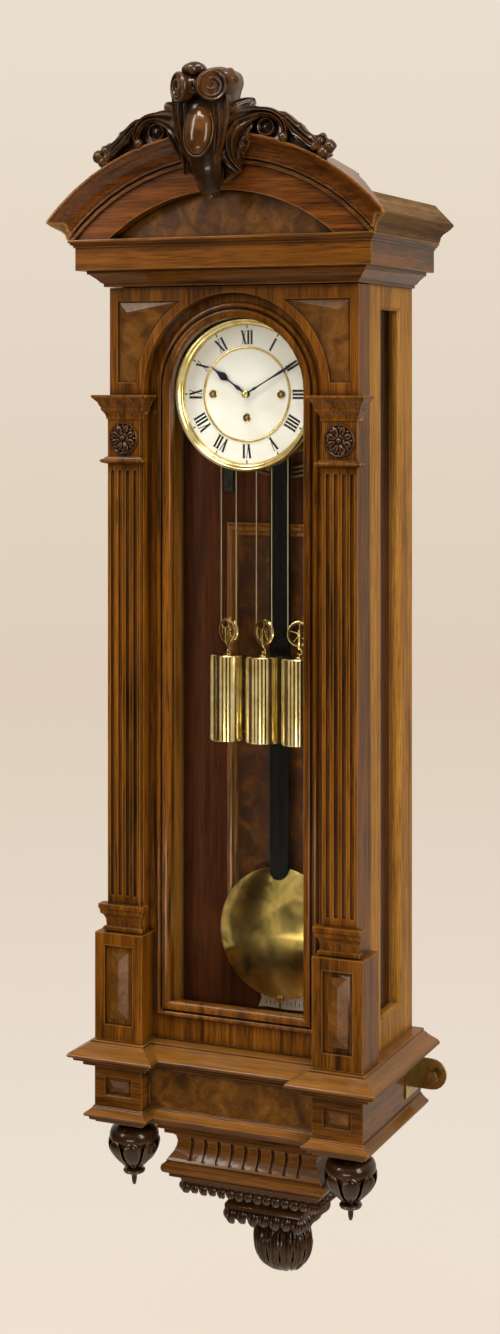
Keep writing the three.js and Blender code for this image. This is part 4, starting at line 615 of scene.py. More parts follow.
class Bench:
    """Modelling operators, used as by hand on one object at a time."""

    @staticmethod
    def clear() -> None:
        """Leave edit mode and deselect everything."""
        if bpy.context.object and bpy.context.object.mode != "OBJECT":
            bpy.ops.object.mode_set(mode="OBJECT")
        bpy.ops.object.select_all(action="DESELECT")

    @classmethod
    def pick(cls, *pieces: Piece) -> Piece:
        """Select these objects alone, and make the first one active.

        Args:
            pieces: The objects.

        Returns:
            The first of them.
        """
        cls.clear()
        for piece in pieces:
            piece.select_set(True)
        bpy.context.view_layer.objects.active = pieces[0]
        return pieces[0]

    @staticmethod
    def edit() -> bmesh.types.BMesh:
        """Enter edit mode.

        Returns:
            The mesh that is edited.
        """
        if bpy.context.object.mode != "EDIT":
            bpy.ops.object.mode_set(mode="EDIT")
        return bmesh.from_edit_mesh(bpy.context.object.data)

    @classmethod
    def loft(cls, rings: Sequence[Ring], closed: bool = False) -> Piece:
        """Extrude a circle of vertices from ring to ring, as a maker draws a section along a piece.

        Args:
            rings: Rings with the same number of points, in millimetres.
            closed: Join the last ring to the first, where both ends would get a face.

        Returns:
            The new object, still without a name or a material.
        """
        cls.clear()
        bpy.ops.mesh.primitive_circle_add(vertices=len(rings[0]), fill_type="NOTHING")
        piece = bpy.context.object
        mesh = cls.edit()
        mesh.verts.ensure_lookup_table()
        for vertex, place in zip(mesh.verts, rings[0]):
            vertex.co = place * MM
        path = list(rings[1:])
        if closed:
            path.append(rings[0])
        else:
            # The first end gets its face, and a loop of its own beside it that the sides start from
            bpy.ops.mesh.edge_face_add()
            bpy.ops.mesh.duplicate()
            bpy.ops.mesh.delete(type="ONLY_FACE")
            mesh = cls.edit()
            for edge in [edge for edge in mesh.edges if not edge.link_faces]:
                edge.select = True
                for vertex in edge.verts:
                    vertex.select = True
        for ring in path:
            bpy.ops.mesh.extrude_edges_move()
            mesh = cls.edit()
            fresh = [vertex for vertex in mesh.verts if vertex.select]
            for vertex, place in zip(fresh, ring):
                vertex.co = place * MM
        if not closed:
            bpy.ops.mesh.edge_face_add()
        bpy.ops.mesh.select_all(action="SELECT")
        bpy.ops.mesh.remove_doubles(threshold=WELD)
        bpy.ops.mesh.normals_make_consistent(inside=False)
        bpy.ops.object.mode_set(mode="OBJECT")
        return piece

    @classmethod
    def turn(cls, profile: Sequence[Point], centre: Vector, axis: Vector, count: int,
             wave: Callable[[float, float], float] | None = None, closed: bool = False) -> Piece:
        """Turn a piece as on a lathe.

        Args:
            profile: Radius and height of each ring.
            centre: Where height 0 lies.
            axis: Unit direction of the axis.
            count: Points in a ring.
            wave: Scale of the radius for a height and an angle.
            closed: Join the last ring to the first, as in a hoop.

        Returns:
            The new object.
        """
        start = UPWARDS if abs(axis.z) < 0.9 else RIGHTWARDS
        across = start.cross(axis).normalized()
        up = axis.cross(across)
        rings = []
        for radius, height in profile:
            size = max(radius, FINEST)
            swell = (lambda angle, h=height: wave(h, angle)) if wave else None
            rings.append(oval(centre + axis * height, across, up, size, size, count, swell))
        return cls.loft(rings, closed)

    @classmethod
    def draw(cls, path: Sequence[Vector], face: Vector, half: Point, count: int) -> Piece:
        """Draw a wire of one rounded section along a path.

        Args:
            path: The points to pass through.
            face: Direction that its front faces.
            half: Half its width and half its depth.
            count: Points in the section.

        Returns:
            The new object.
        """
        section = rounded(*half, count)
        return cls.loft(swept(path, face, lambda i: section))

    @classmethod
    def slab(cls, outline: Sequence[Point], back: float, front: float) -> Piece:
        """Cut a flat piece whose faces look to the front and to the wall.

        Args:
            outline: Its corners, as places across and heights.
            back: Place of its back along Y.
            front: Place of its front.

        Returns:
            The new object.
        """
        return cls.loft([[Vector((x, y, z)) for x, z in outline] for y in (back, front)])


RIGHTWARDS = Vector((1.0, 0.0, 0.0))
FRONT = Vector((0.0, -1.0, 0.0))
UPWARDS = Vector((0.0, 0.0, 1.0))


def aimed(across: Vector, up: Vector, angle: float) -> Vector:
    """Direction at an angle from one unit direction towards another."""
    return across * math.cos(angle) + up * math.sin(angle)


def oval(centre: Vector, across: Vector, up: Vector, wide: float, high: float, count: int,
         wave: Callable[[float], float] | None = None) -> Ring:
    """Points of an oval, which a wave may swell or shrink.

    Args:
        centre: Middle of the oval.
        across: Unit direction of the first half axis.
        up: Unit direction of the second half axis.
        wide: First half axis.
        high: Second half axis.
        count: Number of points.
        wave: Scale of the radius at an angle.

    Returns:
        The ring's points.
    """
    ring = []
    for i in range(count):
        angle = math.tau * i / count
        swell = wave(angle) if wave else 1.0
        ring.append(centre + across * (wide * swell * math.cos(angle)) + up * (high * swell * math.sin(angle)))
    return ring


def hoop(centre: Vector, across: Vector, up: Vector, half: Point, count: int, bead: Point,
         points: int) -> list[Ring]:
    """Rings of a rounded bar bent round an oval.

    Args:
        centre: Middle of the oval.
        across: Unit direction of the first half axis.
        up: Unit direction of the second half axis.
        half: Both half axes.
        count: Sections round the oval.
        bead: Half the bar's width, in the oval's plane and out of it.
        points: Points in a section.

    Returns:
        The rings.
    """
    normal = across.cross(up).normalized()
    rings = []
    for i, place in enumerate(oval(centre, across, up, *half, count)):
        rings.append(oval(place, aimed(across, up, math.tau * i / count), normal, *bead, points))
    return rings


def flowing(points: Sequence[Vector | Place], steps: int) -> list[Vector]:
    """Points of a smooth curve through others.

    Args:
        points: The points to pass through.
        steps: Points on each stretch.

    Returns:
        The finer points, both ends among them.
    """
    knots = [Vector(point) for point in points]
    path = []
    last = len(knots) - 1
    for i in range(last):
        before, start = knots[max(i - 1, 0)], knots[i]
        end, after = knots[i + 1], knots[min(i + 2, last)]
        for k in range(steps):
            t = k / steps
            path.append(0.5 * (2 * start + (end - before) * t + (2 * before - 5 * start + 4 * end - after) * t ** 2
                               + (3 * start - before - 3 * end + after) * t ** 3))
    path.append(knots[last])
    return path


def spread(values: Sequence[float], count: int) -> list[float]:
    """Values read off evenly along a table.

    Args:
        values: The table.
        count: How many to read.

    Returns:
        The values, interpolated.
    """
    read = []
    for i in range(count):
        at = i / (count - 1) * (len(values) - 1)
        low = min(int(at), len(values) - 2)
        read.append(values[low] + (values[low + 1] - values[low]) * (at - low))
    return read


def swept(path: Sequence[Vector], face: Vector, section: Callable[[int], Sequence[Point]]) -> list[Ring]:
    """Rings of a section drawn along a path with its front kept to one direction.

    Args:
        path: The points to pass through.
        face: Direction that the section's front faces.
        section: Points of the section, as across and out, at each point of the path.

    Returns:
        The rings.
    """
    rings = []
    for i, place in enumerate(path):
        along = (path[min(i + 1, len(path) - 1)] - path[max(i - 1, 0)]).normalized()
        across = along.cross(face).normalized()
        out = across.cross(along).normalized()
        rings.append([place + across * a + out * b for a, b in section(i)])
    return rings


def rounded(wide: float, deep: float, count: int) -> list[Point]:
    """Section of a rounded bar.

    Args:
        wide: Half its width.
        deep: Half its depth.
        count: Number of points.

    Returns:
        Points as across and out.
    """
    return [(wide * math.cos(math.tau * i / count), deep * math.sin(math.tau * i / count)) for i in range(count)]


def tapered(foot: Place, head: Place) -> list[Point]:
    """Corners of a stroke, from the middle, the height and half the width of its foot and its head."""
    (low, start, narrow), (high, end, broad) = foot, head
    return [(low - narrow, start), (low + narrow, start), (high + broad, end), (high - broad, end)]


@dataclass(frozen=True)
class Leaf:
    """A carved leaf: a curled band with ribs along its front, and notches in its edges.

    Widths and heights run from its root to its tip. The curl is how far its edges bend forwards, as a share of the
    width, and the hollow how deep it is cut between its ribs, as a share of the height.
    """

    widths: Sequence[float]
    heights: Sequence[float]
    ribs: int = 3
    curl: float = 0.1
    back: float = 16.0
    hollow: float = 0.45
    scallops: int = 0
    notch: float = 0.25
    steps: int = 6
    count: int = 26

    def section(self, wide: float, high: float) -> list[Point]:
        """Section across the leaf.

        Args:
            wide: Its width there.
            high: Height of its ribs there.

        Returns:
            Points as across and out.
        """
        half = self.count // 2
        front, rear = [], []
        for i in range(half):
            t = i / (half - 1) * 2 - 1
            lift = self.curl * wide * t * t
            edge = math.sqrt(max(0.0, 1 - t ** 4))
            rib = 1 - self.hollow * (0.5 - 0.5 * math.cos(math.tau * self.ribs * (t + 1) / 2))
            front.append((t * wide / 2, lift + high * (0.1 + 0.9 * edge * rib)))
            rear.append((t * wide / 2 * 0.9, -self.back * edge))
        return front + rear[::-1]

    def carve(self, route: Sequence[Vector | Place], face: Vector = FRONT) -> Piece:
        """Carve the leaf along a route.

        Args:
            route: Points along its middle.
            face: Direction that its front faces.

        Returns:
            The leaf.
        """
        path = flowing(route, self.steps)
        last = len(path) - 1
        wide, high = spread(self.widths, last + 1), spread(self.heights, last + 1)
        if self.scallops:
            wide = [w * (1 - self.notch * abs(math.cos(math.pi * self.scallops * i / last)))
                    for i, w in enumerate(wide)]
        return Bench.loft(swept(path, face, lambda i: self.section(wide[i], high[i])))


@dataclass(frozen=True)
class Knob:
    """A turned knob with lobes cut round it, as it sits in the clock's right half."""

    profile: Sequence[Point]
    place: Place
    axis: Place
    count: int
    lobes: int = 0
    depth: float = 0.0
    twist: float = 0.0
    lobed_below: float = math.inf

    def seat(self, side: Side) -> tuple[Vector, Vector]:
        """Where its height 0 lies on one side, and the direction of its axis."""
        centre, axis = side.mirrored((self.place, self.axis))
        return Vector(centre), Vector(axis).normalized()

    def swell(self, height: float, angle: float) -> float:
        """Scale of its radius for a height and an angle."""
        lobe = self.depth * math.cos(self.lobes * angle + height * self.twist)
        return 1 + (lobe if height < self.lobed_below else 0.0)

    def build(self, side: Side = Side.RIGHT) -> Piece:
        """Turn the knob for one side."""
        return Bench.turn(self.profile, *self.seat(side), self.count, self.swell)


@dataclass
class Shop:
    """Finishes, and the last step of each piece."""

    made: dict[str, Material] = field(default_factory=dict)

    def finish(self, look: Look) -> Material:
        """The material of a look, made once.

        Args:
            look: The finish.

        Returns:
            Its material.
        """
        if look.name not in self.made:
            self.made[look.name] = look.value.build()
        return self.made[look.name]

    def dress(self, node: Piece, look: Look, soften_mm: float) -> None:
        """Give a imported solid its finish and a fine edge.

        Args:
            node: The solid's object, whose mesh is left as it is.
            look: Its finish.
            soften_mm: Width of the rounding on its edges, or 0 for none.
        """
        for slot in node.material_slots:
            slot.material = self.finish(look)
        if not node.material_slots:
            node.data.materials.append(self.finish(look))
        if soften_mm:
            weld = node.modifiers.new("weld", "WELD")
            weld.merge_threshold = WELD
            bevel = node.modifiers.new("edge", "BEVEL")
            bevel.width = soften_mm * MM
            bevel.segments = 2
            bevel.limit_method = "ANGLE"
            bevel.angle_limit = math.radians(28)
            bevel.use_clamp_overlap = True
            bevel.harden_normals = False
            node.modifiers.new("shade", "WEIGHTED_NORMAL")
        LOG.info("%s: %s", node.name, look.value.name)

    def coat(self, name: str, parts: Sequence[Piece], look: Look, smooth_deg: float) -> Piece:
        """Join the parts of a new piece, name it and give it its finish.

        Args:
            name: The piece's name.
            parts: Its modelled parts.
            look: Its finish.
            smooth_deg: Edges flatter than this are shaded smooth.

        Returns:
            The piece.
        """
        piece = Bench.pick(*parts)
        if len(parts) > 1:
            bpy.ops.object.join()
        piece.name = name
        bpy.ops.object.transform_apply(location=True, rotation=True, scale=True)
        bpy.ops.object.shade_smooth_by_angle(angle=math.radians(smooth_deg))
        piece.data.materials.clear()
        piece.data.materials.append(self.finish(look))
        LOG.info("%s: %d faces, %s", name, len(piece.data.polygons), look.value.name)
        return piece

    def settle(self, name: str, parts: Sequence[Piece], look: Look, body: str, slot: str,
               stands_for: Sequence[str] = (), smooth_deg: float = 40.0) -> None:
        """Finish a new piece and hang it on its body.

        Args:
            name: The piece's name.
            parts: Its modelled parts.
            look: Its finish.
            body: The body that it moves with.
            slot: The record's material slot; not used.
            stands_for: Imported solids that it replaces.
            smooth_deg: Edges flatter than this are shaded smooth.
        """
        piece = self.coat(name, parts, look, smooth_deg)
        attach(piece, body)
        if stands_for:
            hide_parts(*stands_for)


@dataclass
class Crest:
    """Carved crest: a leaning cartouche under a rolled head, and a leafy scroll to each side."""

    shop: Shop
    keel: Sequence[Place] = ((0, -238, 246), (0, -246, 253), (0, -252, 266), (0, -257, 280), (0, -261, 300),
                             (0, -264, 325), (0, -266, 350), (0, -266, 372))
    keel_widths: Sequence[float] = (9, 14, 17, 20, 23, 26, 26, 23)
    keel_depths: Sequence[float] = (5, 9, 12, 14, 15, 15, 14, 12)
    stone: Place = (0.0, -278.0, 322.0)
    stone_half: Point = (18.0, 31.0)
    stone_rise: Sequence[Point] = ((1.0, -4.0), (1.0, 1.0), (0.97, 4.0), (0.88, 7.0), (0.74, 9.6), (0.55, 11.6),
                                   (0.3, 12.9), (0.0, 13.4))
    stone_tilt: Place = (0, 0.16, 1)
    stone_tip: float = 0.02
    rim_half: Point = (1.5, 2.6)
    brow_route: Sequence[Place] = ((24, -288, 375), (14.4, -283, 376), (0, -279, 377), (-14.4, -283, 376),
                                   (-24, -288, 375))
    brow_waist: float = 13.0
    brow_roll: float = 16.5
    head: Sequence[Point] = ((0, 399), (14, 401), (27, 400), (37, 394), (40, 383), (37, 373), (35, 364), (34, 352),
                             (34, 340), (30, 326), (20, 316), (0, 312))
    head_levels: Sequence[Point] = ((-230, 0.9), (-234, 1.0), (-262, 1.0), (-270, 0.9))
    pip: Knob = Knob(((0, -5), (3.6, -4), (5, 0), (3.6, 4), (0, 5)), (0, -246, 244), (0, -1, 0), 20)
    bud: Knob = Knob(((7, -8), (13, -4), (15, 0), (14.4, 4), (11.4, 7.6), (6.6, 9.8), (2, 10.9), (0, 11)),
                     (-4, -281, 395), (0, 0, 1), 40, 5, 0.1, 0.08)
    volute: Knob = Knob(((0, -3), (14.4, -3), (15.2, -0.6), (17.4, 0.4), (18.8, -1), (19, -4), (17.4, -8), (16, -16),
                         (0, -16)), (24, -291, 375), (0.62, -0.785, 0), 48)
    spiral_turns: float = 1.8
    spiral_reach: Point = (1.8, 14.8)
    spiral_steps: int = 69
    spiral_ridge: Sequence[Point] = ((-2.0, -3.6), (-1.8, -0.8), (-0.9, 0.6), (0.5, 0.7), (1.6, -0.6), (2.0, -3.6))
    lobe: Knob = Knob(((0, -16), (9, -15), (13, -10), (14.6, -2), (14, 6), (10.6, 12), (4, 15), (0, 15.4)),
                      (27, -254, 385), (0.5, -0.85, 0.1), 40, 5, 0.09)
    neck: Leaf = Leaf((6, 12, 17, 22, 24), (4, 6, 8, 9, 8), 2, 0.04, 14)
    neck_route: Sequence[Place] = ((13, -262, 283), (21, -266, 300), (26, -268, 322), (28, -270, 344),
                                   (27, -272, 364))
    backing: Sequence[Point] = ((14, 262), (34, 277), (36, 296), (50, 312), (66, 312), (100, 303), (140, 284),
                                (156, 290), (151, 306), (138, 310), (121, 318), (107, 329), (94, 339), (78, 345),
                                (56, 347), (36, 346), (24, 340), (14, 330))
    backing_levels: Sequence[Point] = ((-226, 1.0), (-238, 1.0), (-241, 0.97))
    # Band, tip, slope and inner leaf of a scroll
    leaves: Sequence[tuple[Leaf, Sequence[Place]]] = (
        (Leaf((6, 15, 22, 28, 31, 23, 13, 12, 12, 10, 7), (4, 8, 9, 10, 9, 8, 8, 8, 7, 6, 5)),
         ((37, -238, 275), (29, -248, 289), (27, -256, 305), (30, -259, 321), (41, -258, 336), (56, -254, 342),
          (71, -251, 344.5), (86, -249, 342.5), (97.5, -248, 334), (102, -247, 323), (99, -246, 313))),
        (Leaf((14, 22, 21, 14, 3), (6, 8, 8, 6, 3), 2, 0.1, 14),
         ((24, -259, 326), (32, -259, 341), (44, -254, 351), (55, -249, 357), (61, -246, 361))),
        (Leaf((8, 15, 19, 18, 12), (5, 7, 7, 6, 5), scallops=3),
         ((90, -245, 343), (105, -247, 335), (118, -247, 322), (131, -247, 311), (146, -246, 299))),
        (Leaf((5, 15, 19, 16, 3), (3, 6, 6, 5, 2), 4, 0.18, 10, scallops=4),
         ((35, -243, 287), (38, -248, 300), (43, -250, 314), (51, -250, 325), (59, -248, 332))),
    )
    # Roundel and drop in a scroll's bend, and the flower with its two balls at its end
    knobs: Sequence[Knob] = (
        Knob(((11.4, -12), (11.9, -3), (12.2, 0), (10.8, 1.6), (9.2, 0.4), (8.8, -1.6), (8.2, -2.2), (4, -0.6),
              (0, 0)), (75, -246, 327), (0, -1, 0), 36),
        Knob(((0, -6), (4, -5), (6.4, 0), (5.6, 4), (3, 6.4), (0, 7)), (99, -247, 313), (0, -1, 0), 20),
        Knob(((8, -10), (11.5, -4), (12.6, 0), (10.4, 3.6), (7.4, 4.6), (6.2, 2.4), (5.2, 5.4), (3, 8), (0, 8.6)),
             (146, -243, 305), (0.3, -0.85, 0.4), 48, 5, 0.14, lobed_below=4),
        Knob(((2, -7), (6, -5), (8.2, 0), (7, 4.6), (3.8, 7.4), (0, 8)), (158, -242, 300), (0.8, -0.5, 0.3), 24, 4,
             0.08),
        Knob(((2, -7), (6, -5), (8.2, 0), (7, 4.6), (3.8, 7.4), (0, 8)), (150, -243, 293), (0.4, -0.6, -0.6), 24),
    )

    def build(self) -> None:
        """Make the crest."""
        parts = [self.body(), self.head_back(), self.brow(), self.bud.build(), self.rim(), self.pip.build()]
        for side in Side:
            parts += [self.volute.build(side), self.spiral(side), self.neck.carve(side.mirrored(self.neck_route)),
                      self.lobe.build(side)]
        self.shop.settle("crest_cartouche_carved", parts, Look.CARVING, "case", "carved_walnut",
                         ["crest_cartouche"], 60)
        self.shop.settle("crest_boss_polished", [self.cabochon()], Look.CABOCHON, "case", "carved_walnut",
                         ["crest_cartouche"], 60)
        for side in Side:
            self.shop.settle(f"crest_scroll_{side.word}_carved", self.scroll(side), Look.CARVING, "case",
                             "carved_walnut", [f"crest_scroll_{side.word}"], 60)

    def body(self) -> Piece:
        """Keel of the cartouche, from its blunt foot to the head.

        Returns:
            The keel.
        """
        path = flowing(self.keel, 5)
        wide, deep = spread(self.keel_widths, len(path)), spread(self.keel_depths, len(path))
        return Bench.loft(swept(path, FRONT, lambda i: rounded(wide[i], deep[i], 28)))

    @staticmethod
    def plate(outline: Ring, levels: Sequence[Point]) -> Piece:
        """Flat piece with a rounded edge.

        Args:
            outline: Its outline.
            levels: Depth and share of its size, from the back to the front.

        Returns:
            The piece.
        """
        middle = sum(outline, Vector()) / len(outline)
        return Bench.loft([[middle + (point - middle) * share + Vector((0, y, 0)) for point in outline]
                           for y, share in levels])

    def head_back(self) -> Piece:
        """Block behind the rolled head.

        Returns:
            The block.
        """
        half = flowing([(x, 0, z) for x, z in self.head], 4)
        return self.plate(half + [Vector((-point.x, 0, point.z)) for point in half[-2:0:-1]], self.head_levels)

    def brow(self) -> Piece:
        """Rolled leaf that bends from one volute to the other.

        Returns:
            The leaf.
        """
        path = flowing(self.brow_route, 5)
        end = path[0].x
        waist = [self.brow_waist + (self.brow_roll - self.brow_waist) * abs(p.x / end) ** 1.5 for p in path]
        return Bench.loft(swept(path, UPWARDS, lambda i: rounded(waist[i], waist[i], 32)))

    def rim(self) -> Piece:
        """Moulded rim round the polished boss.

        Returns:
            The rim.
        """
        half = (self.stone_half[0] + self.rim_half[0], self.stone_half[1] + self.rim_half[0])
        tilt = Vector(self.stone_tilt).normalized()
        return Bench.loft(hoop(Vector(self.stone), RIGHTWARDS, tilt, half, 48, self.rim_half, 10), closed=True)

    def cabochon(self) -> Piece:
        """Polished oval boss in the middle.

        Returns:
            The boss.
        """
        tilt = Vector(self.stone_tilt).normalized()
        normal = RIGHTWARDS.cross(tilt).normalized()
        wide, high = self.stone_half
        return Bench.loft([oval(Vector(self.stone) + normal * rise, RIGHTWARDS, tilt,
                                max(wide * share, self.stone_tip), max(high * share, self.stone_tip), 48)
                           for share, rise in self.stone_rise])

    def spiral(self, side: Side) -> Piece:
        """Spiral ridge on a volute's disc.

        Args:
            side: Left or right.

        Returns:
            The ridge.
        """
        centre, axis = self.volute.seat(side)
        across = UPWARDS.cross(axis).normalized()
        eye, reach = self.spiral_reach
        path = []
        for i in range(self.spiral_steps + 1):
            share = i / self.spiral_steps
            angle = math.pi / 2 + side.value * math.tau * self.spiral_turns * share
            path.append(centre + aimed(across, UPWARDS, angle) * (reach * (1 - share) ** 0.9 + eye))
        return Bench.loft(swept(path, axis, lambda i: self.spiral_ridge))

    def scroll(self, side: Side) -> list[Piece]:
        """Board, leaves, roundel and flower that lie on the arch at one side.

        Args:
            side: Left or right.

        Returns:
            Its parts.
        """
        board = self.plate([Vector((side.value * x, 0, z)) for x, z in self.backing], self.backing_levels)
        leaves = [leaf.carve(side.mirrored(route)) for leaf, route in self.leaves]
        return [board] + leaves + [knob.build(side) for knob in self.knobs]


@dataclass(frozen=True)
class Hand:
    """One blued hand: half widths of its blade along it, and its hub as radius and distance from the wall."""

    name: str
    body: str
    hour: float
    plane: float
    outline: Sequence[Point]
    hub: Sequence[Point]


@dataclass
class Clockface:
    """Dial with its painted figures, rings, collars, bezel and hands."""

    shop: Shop
    face: float = -139.5
    paint: float = 0.12
    sunk: float = 0.2
    foot: float = 64.0
    head: float = 82.0
    thick: float = 3.0
    thin: float = 1.0
    serif: float = 0.5
    reach: float = 0.7
    pitch: float = 4.5
    broad: float = 8.6
    inset: float = 1.7
    minute: float = 86.3
    dot: float = 0.42
    # Foot and head of an hour's wedge, each from the ring of dots and with half its width
    wedge: Sequence[Point] = ((-2.2, 0.4), (1.4, 1.2))
    hours: Sequence[str] = ("I", "II", "III", "IIII", "V", "VI", "VII", "VIII", "IX", "X", "XI", "XII")
    arbors: Sequence[Point] = ((-48, 0), (48, 0), (0, -30))
    # Turned sections, as radius and distance from the wall
    collar: Sequence[Point] = ((5.8, 139.3), (5.8, 139.9), (5.2, 140.5), (4.5, 140.3), (4.1, 139.6), (4.1, 138.2))
    # A black ring in each winding hole, as painted shade that darkens the hole
    hole_shade: Sequence[Point] = ((4.0, 138.0), (4.0, 138.4), (2.7, 138.4), (2.7, 138.0))
    inner: Sequence[Point] = ((61.5, 139.4), (61.5, 140.6), (60.9, 141.2), (59.2, 141.2), (58.6, 140.6),
                              (58.6, 139.4))
    bezel: Sequence[Point] = ((99.5, 137), (99.4, 143), (98.2, 146.6), (95.8, 148.4), (93.6, 147.6), (92.8, 145.8),
                              (91.9, 145.2), (90.6, 145.0), (89.4, 143.4), (88.2, 140.6), (88, 139), (88.6, 137))
    cap: Sequence[Point] = ((3.2, 145.4), (4.4, 145.9), (4.6, 146.6), (3.6, 147.4), (2.2, 147.8), (1.9, 148.6),
                            (0, 149))
    hands: Sequence[Hand] = (
        Hand("hour_hand_leaf", "hour", 10 + 1 / 6, -141.6,
             ((1.4, -3), (1.5, 4), (1.3, 10), (2.6, 15), (1.1, 20), (0.9, 27), (1.3, 32), (4.2, 36.5), (5.4, 40),
              (4.6, 43), (2.6, 47), (1.2, 52), (0.8, 57), (0.3, 62)),
             ((3.1, 139), (4.2, 140.6), (4.4, 142), (4, 142.9), (0, 143))),
        Hand("minute_hand_blade", "minute", 2.0, -144.4,
             ((1.2, -3), (1.3, 4), (1.0, 10), (2.0, 14), (0.9, 19), (0.8, 30), (1.1, 44), (1.7, 52), (2.1, 57),
              (1.6, 66), (1.0, 76), (0.3, 84)),
             ((2.2, 143.2), (3.6, 144), (3.8, 145.2), (3.2, 145.7), (0, 145.8))),
    )
    # Section of a blade with its edges filed down to a ridge, as shares of its half width and its thickness
    filed: Sequence[Point] = ((-1, 0), (-1, 0.5), (-0.35, 1), (0.35, 1), (1, 0.5), (1, 0))

    def build(self) -> None:
        """Make the pieces of the dial."""
        figures = [plate for hour, text in enumerate(self.hours, 1) for plate in self.figure(hour, text)]
        self.shop.settle("dial_figures", figures + self.track(), Look.PAINT, "case", "white_dial")
        self.shop.settle("bezel_turned", [self.turned(self.bezel, 160)], Look.BEZEL, "case", "brass", ["bezel"], 50)
        self.shop.settle("dial_ring_turned", [self.turned(self.inner, 160)], Look.BRASS, "case", "brass",
                         ["dial_ring"], 50)
        collars = [self.turned(self.collar, 32, hole) for hole in self.arbors]
        self.shop.settle("winding_collars", collars, Look.BRASS, "case", "brass")
        # Painted shade: black rings that darken the winding holes
        hole_shades = [self.turned(self.hole_shade, 32, hole) for hole in self.arbors]
        self.shop.settle("winding_hole_shades", hole_shades, Look.PAINT, "case", "blued_steel")
        for hand in self.hands:
            parts = [self.blade(hand), self.turned(hand.hub, 28, closed=False)]
            self.shop.settle(hand.name, parts, Look.STEEL, hand.body, "blued_steel", [f"{hand.body}_hand"], 25)
        self.shop.settle("hand_collet", [self.turned(self.cap, 28, closed=False)], Look.BRASS, "minute", "brass")

    def place(self, hour: float, u: float, v: float, y: float) -> Vector:
        """Point on the dial at an hour, u to the right of it and v from the centre."""
        angle = math.tau * hour / 12
        return Vector((math.sin(angle) * v + math.cos(angle) * u, y, math.cos(angle) * v - math.sin(angle) * u))

    def stroke(self, hour: float, corners: Sequence[Point]) -> Piece:
        """One painted stroke, a shade above the enamel.

        Args:
            hour: Where on the dial it stands.
            corners: Its outline, right of the hour and from the centre.

        Returns:
            The stroke.
        """
        return Bench.loft([[self.place(hour, u, v, y) for u, v in corners]
                           for y in (self.face + self.sunk, self.face - self.paint)])

    def bar(self, hour: float, low: float, high: float, wide: float) -> list[Piece]:
        """A stroke of a figure from its foot to its head, with a serif at each end.

        Args:
            hour: Where on the dial the figure stands.
            low: Place of its foot, right of the hour.
            high: Place of its head, right of the hour.
            wide: Width of the stroke.

        Returns:
            The stroke and its serifs.
        """
        half, reach = wide / 2, wide / 2 + self.reach
        parts = [self.stroke(hour, tapered((low, self.foot, half), (high, self.head, half)))]
        for middle, start in ((low, self.foot), (high, self.head - self.serif)):
            parts.append(self.stroke(hour, tapered((middle, start, reach), (middle, start + self.serif, reach))))
        return parts

    def figure(self, hour: int, text: str) -> list[Piece]:
        """A Roman figure with its foot towards the centre.

        Args:
            hour: The hour.
            text: Its letters.

        Returns:
            The painted strokes.
        """
        widths = {"I": self.pitch, "V": self.broad, "X": self.broad}
        at = -sum(widths[letter] for letter in text) / 2
        parts = []
        for letter in text:
            wide = widths[letter]
            left, right, middle = at + self.inset, at + wide - self.inset, at + wide / 2
            if letter == "I":
                parts += self.bar(hour, middle, middle, self.thick)
            if letter == "V":
                parts += self.bar(hour, middle, left, self.thick) + self.bar(hour, middle, right, self.thin)
            if letter == "X":
                parts += self.bar(hour, right, left, self.thick) + self.bar(hour, left, right, self.thin)
            at += wide
        return parts

    def track(self) -> list[Piece]:
        """Minute dots, with a small wedge at each hour.

        Returns:
            The painted marks.
        """
        dot = [(u, self.minute + v) for u, v in rounded(self.dot, self.dot, 6)]
        wedge = tapered(*((0, self.minute + reach, half) for reach, half in self.wedge))
        return [self.stroke(minute / 5, dot if minute % 5 else wedge) for minute in range(60)]

    def turned(self, section: Sequence[Point], count: int, hole: Point = (0, 0), closed: bool = True) -> Piece:
        """Ring or hub turned round the dial's middle or a winding hole.

        Args:
            section: Its section, as radius and distance from the wall.
            count: Points in a ring.
            hole: The hole's place across and its height.
            closed: Whether it is a ring.

        Returns:
            The turned part.
        """
        return Bench.turn(section, Vector((hole[0], 0, hole[1])), FRONT, count, closed=closed)

    def blade(self, hand: Hand) -> Piece:
        """A hand's blade, a millimetre thick.

        Args:
            hand: The hand.

        Returns:
            The blade.
        """
        rings = []
        for half, v in hand.outline:
            rings.append([self.place(hand.hour, half * a, v, hand.plane - b) for a, b in self.filed])
        return Bench.loft(rings)


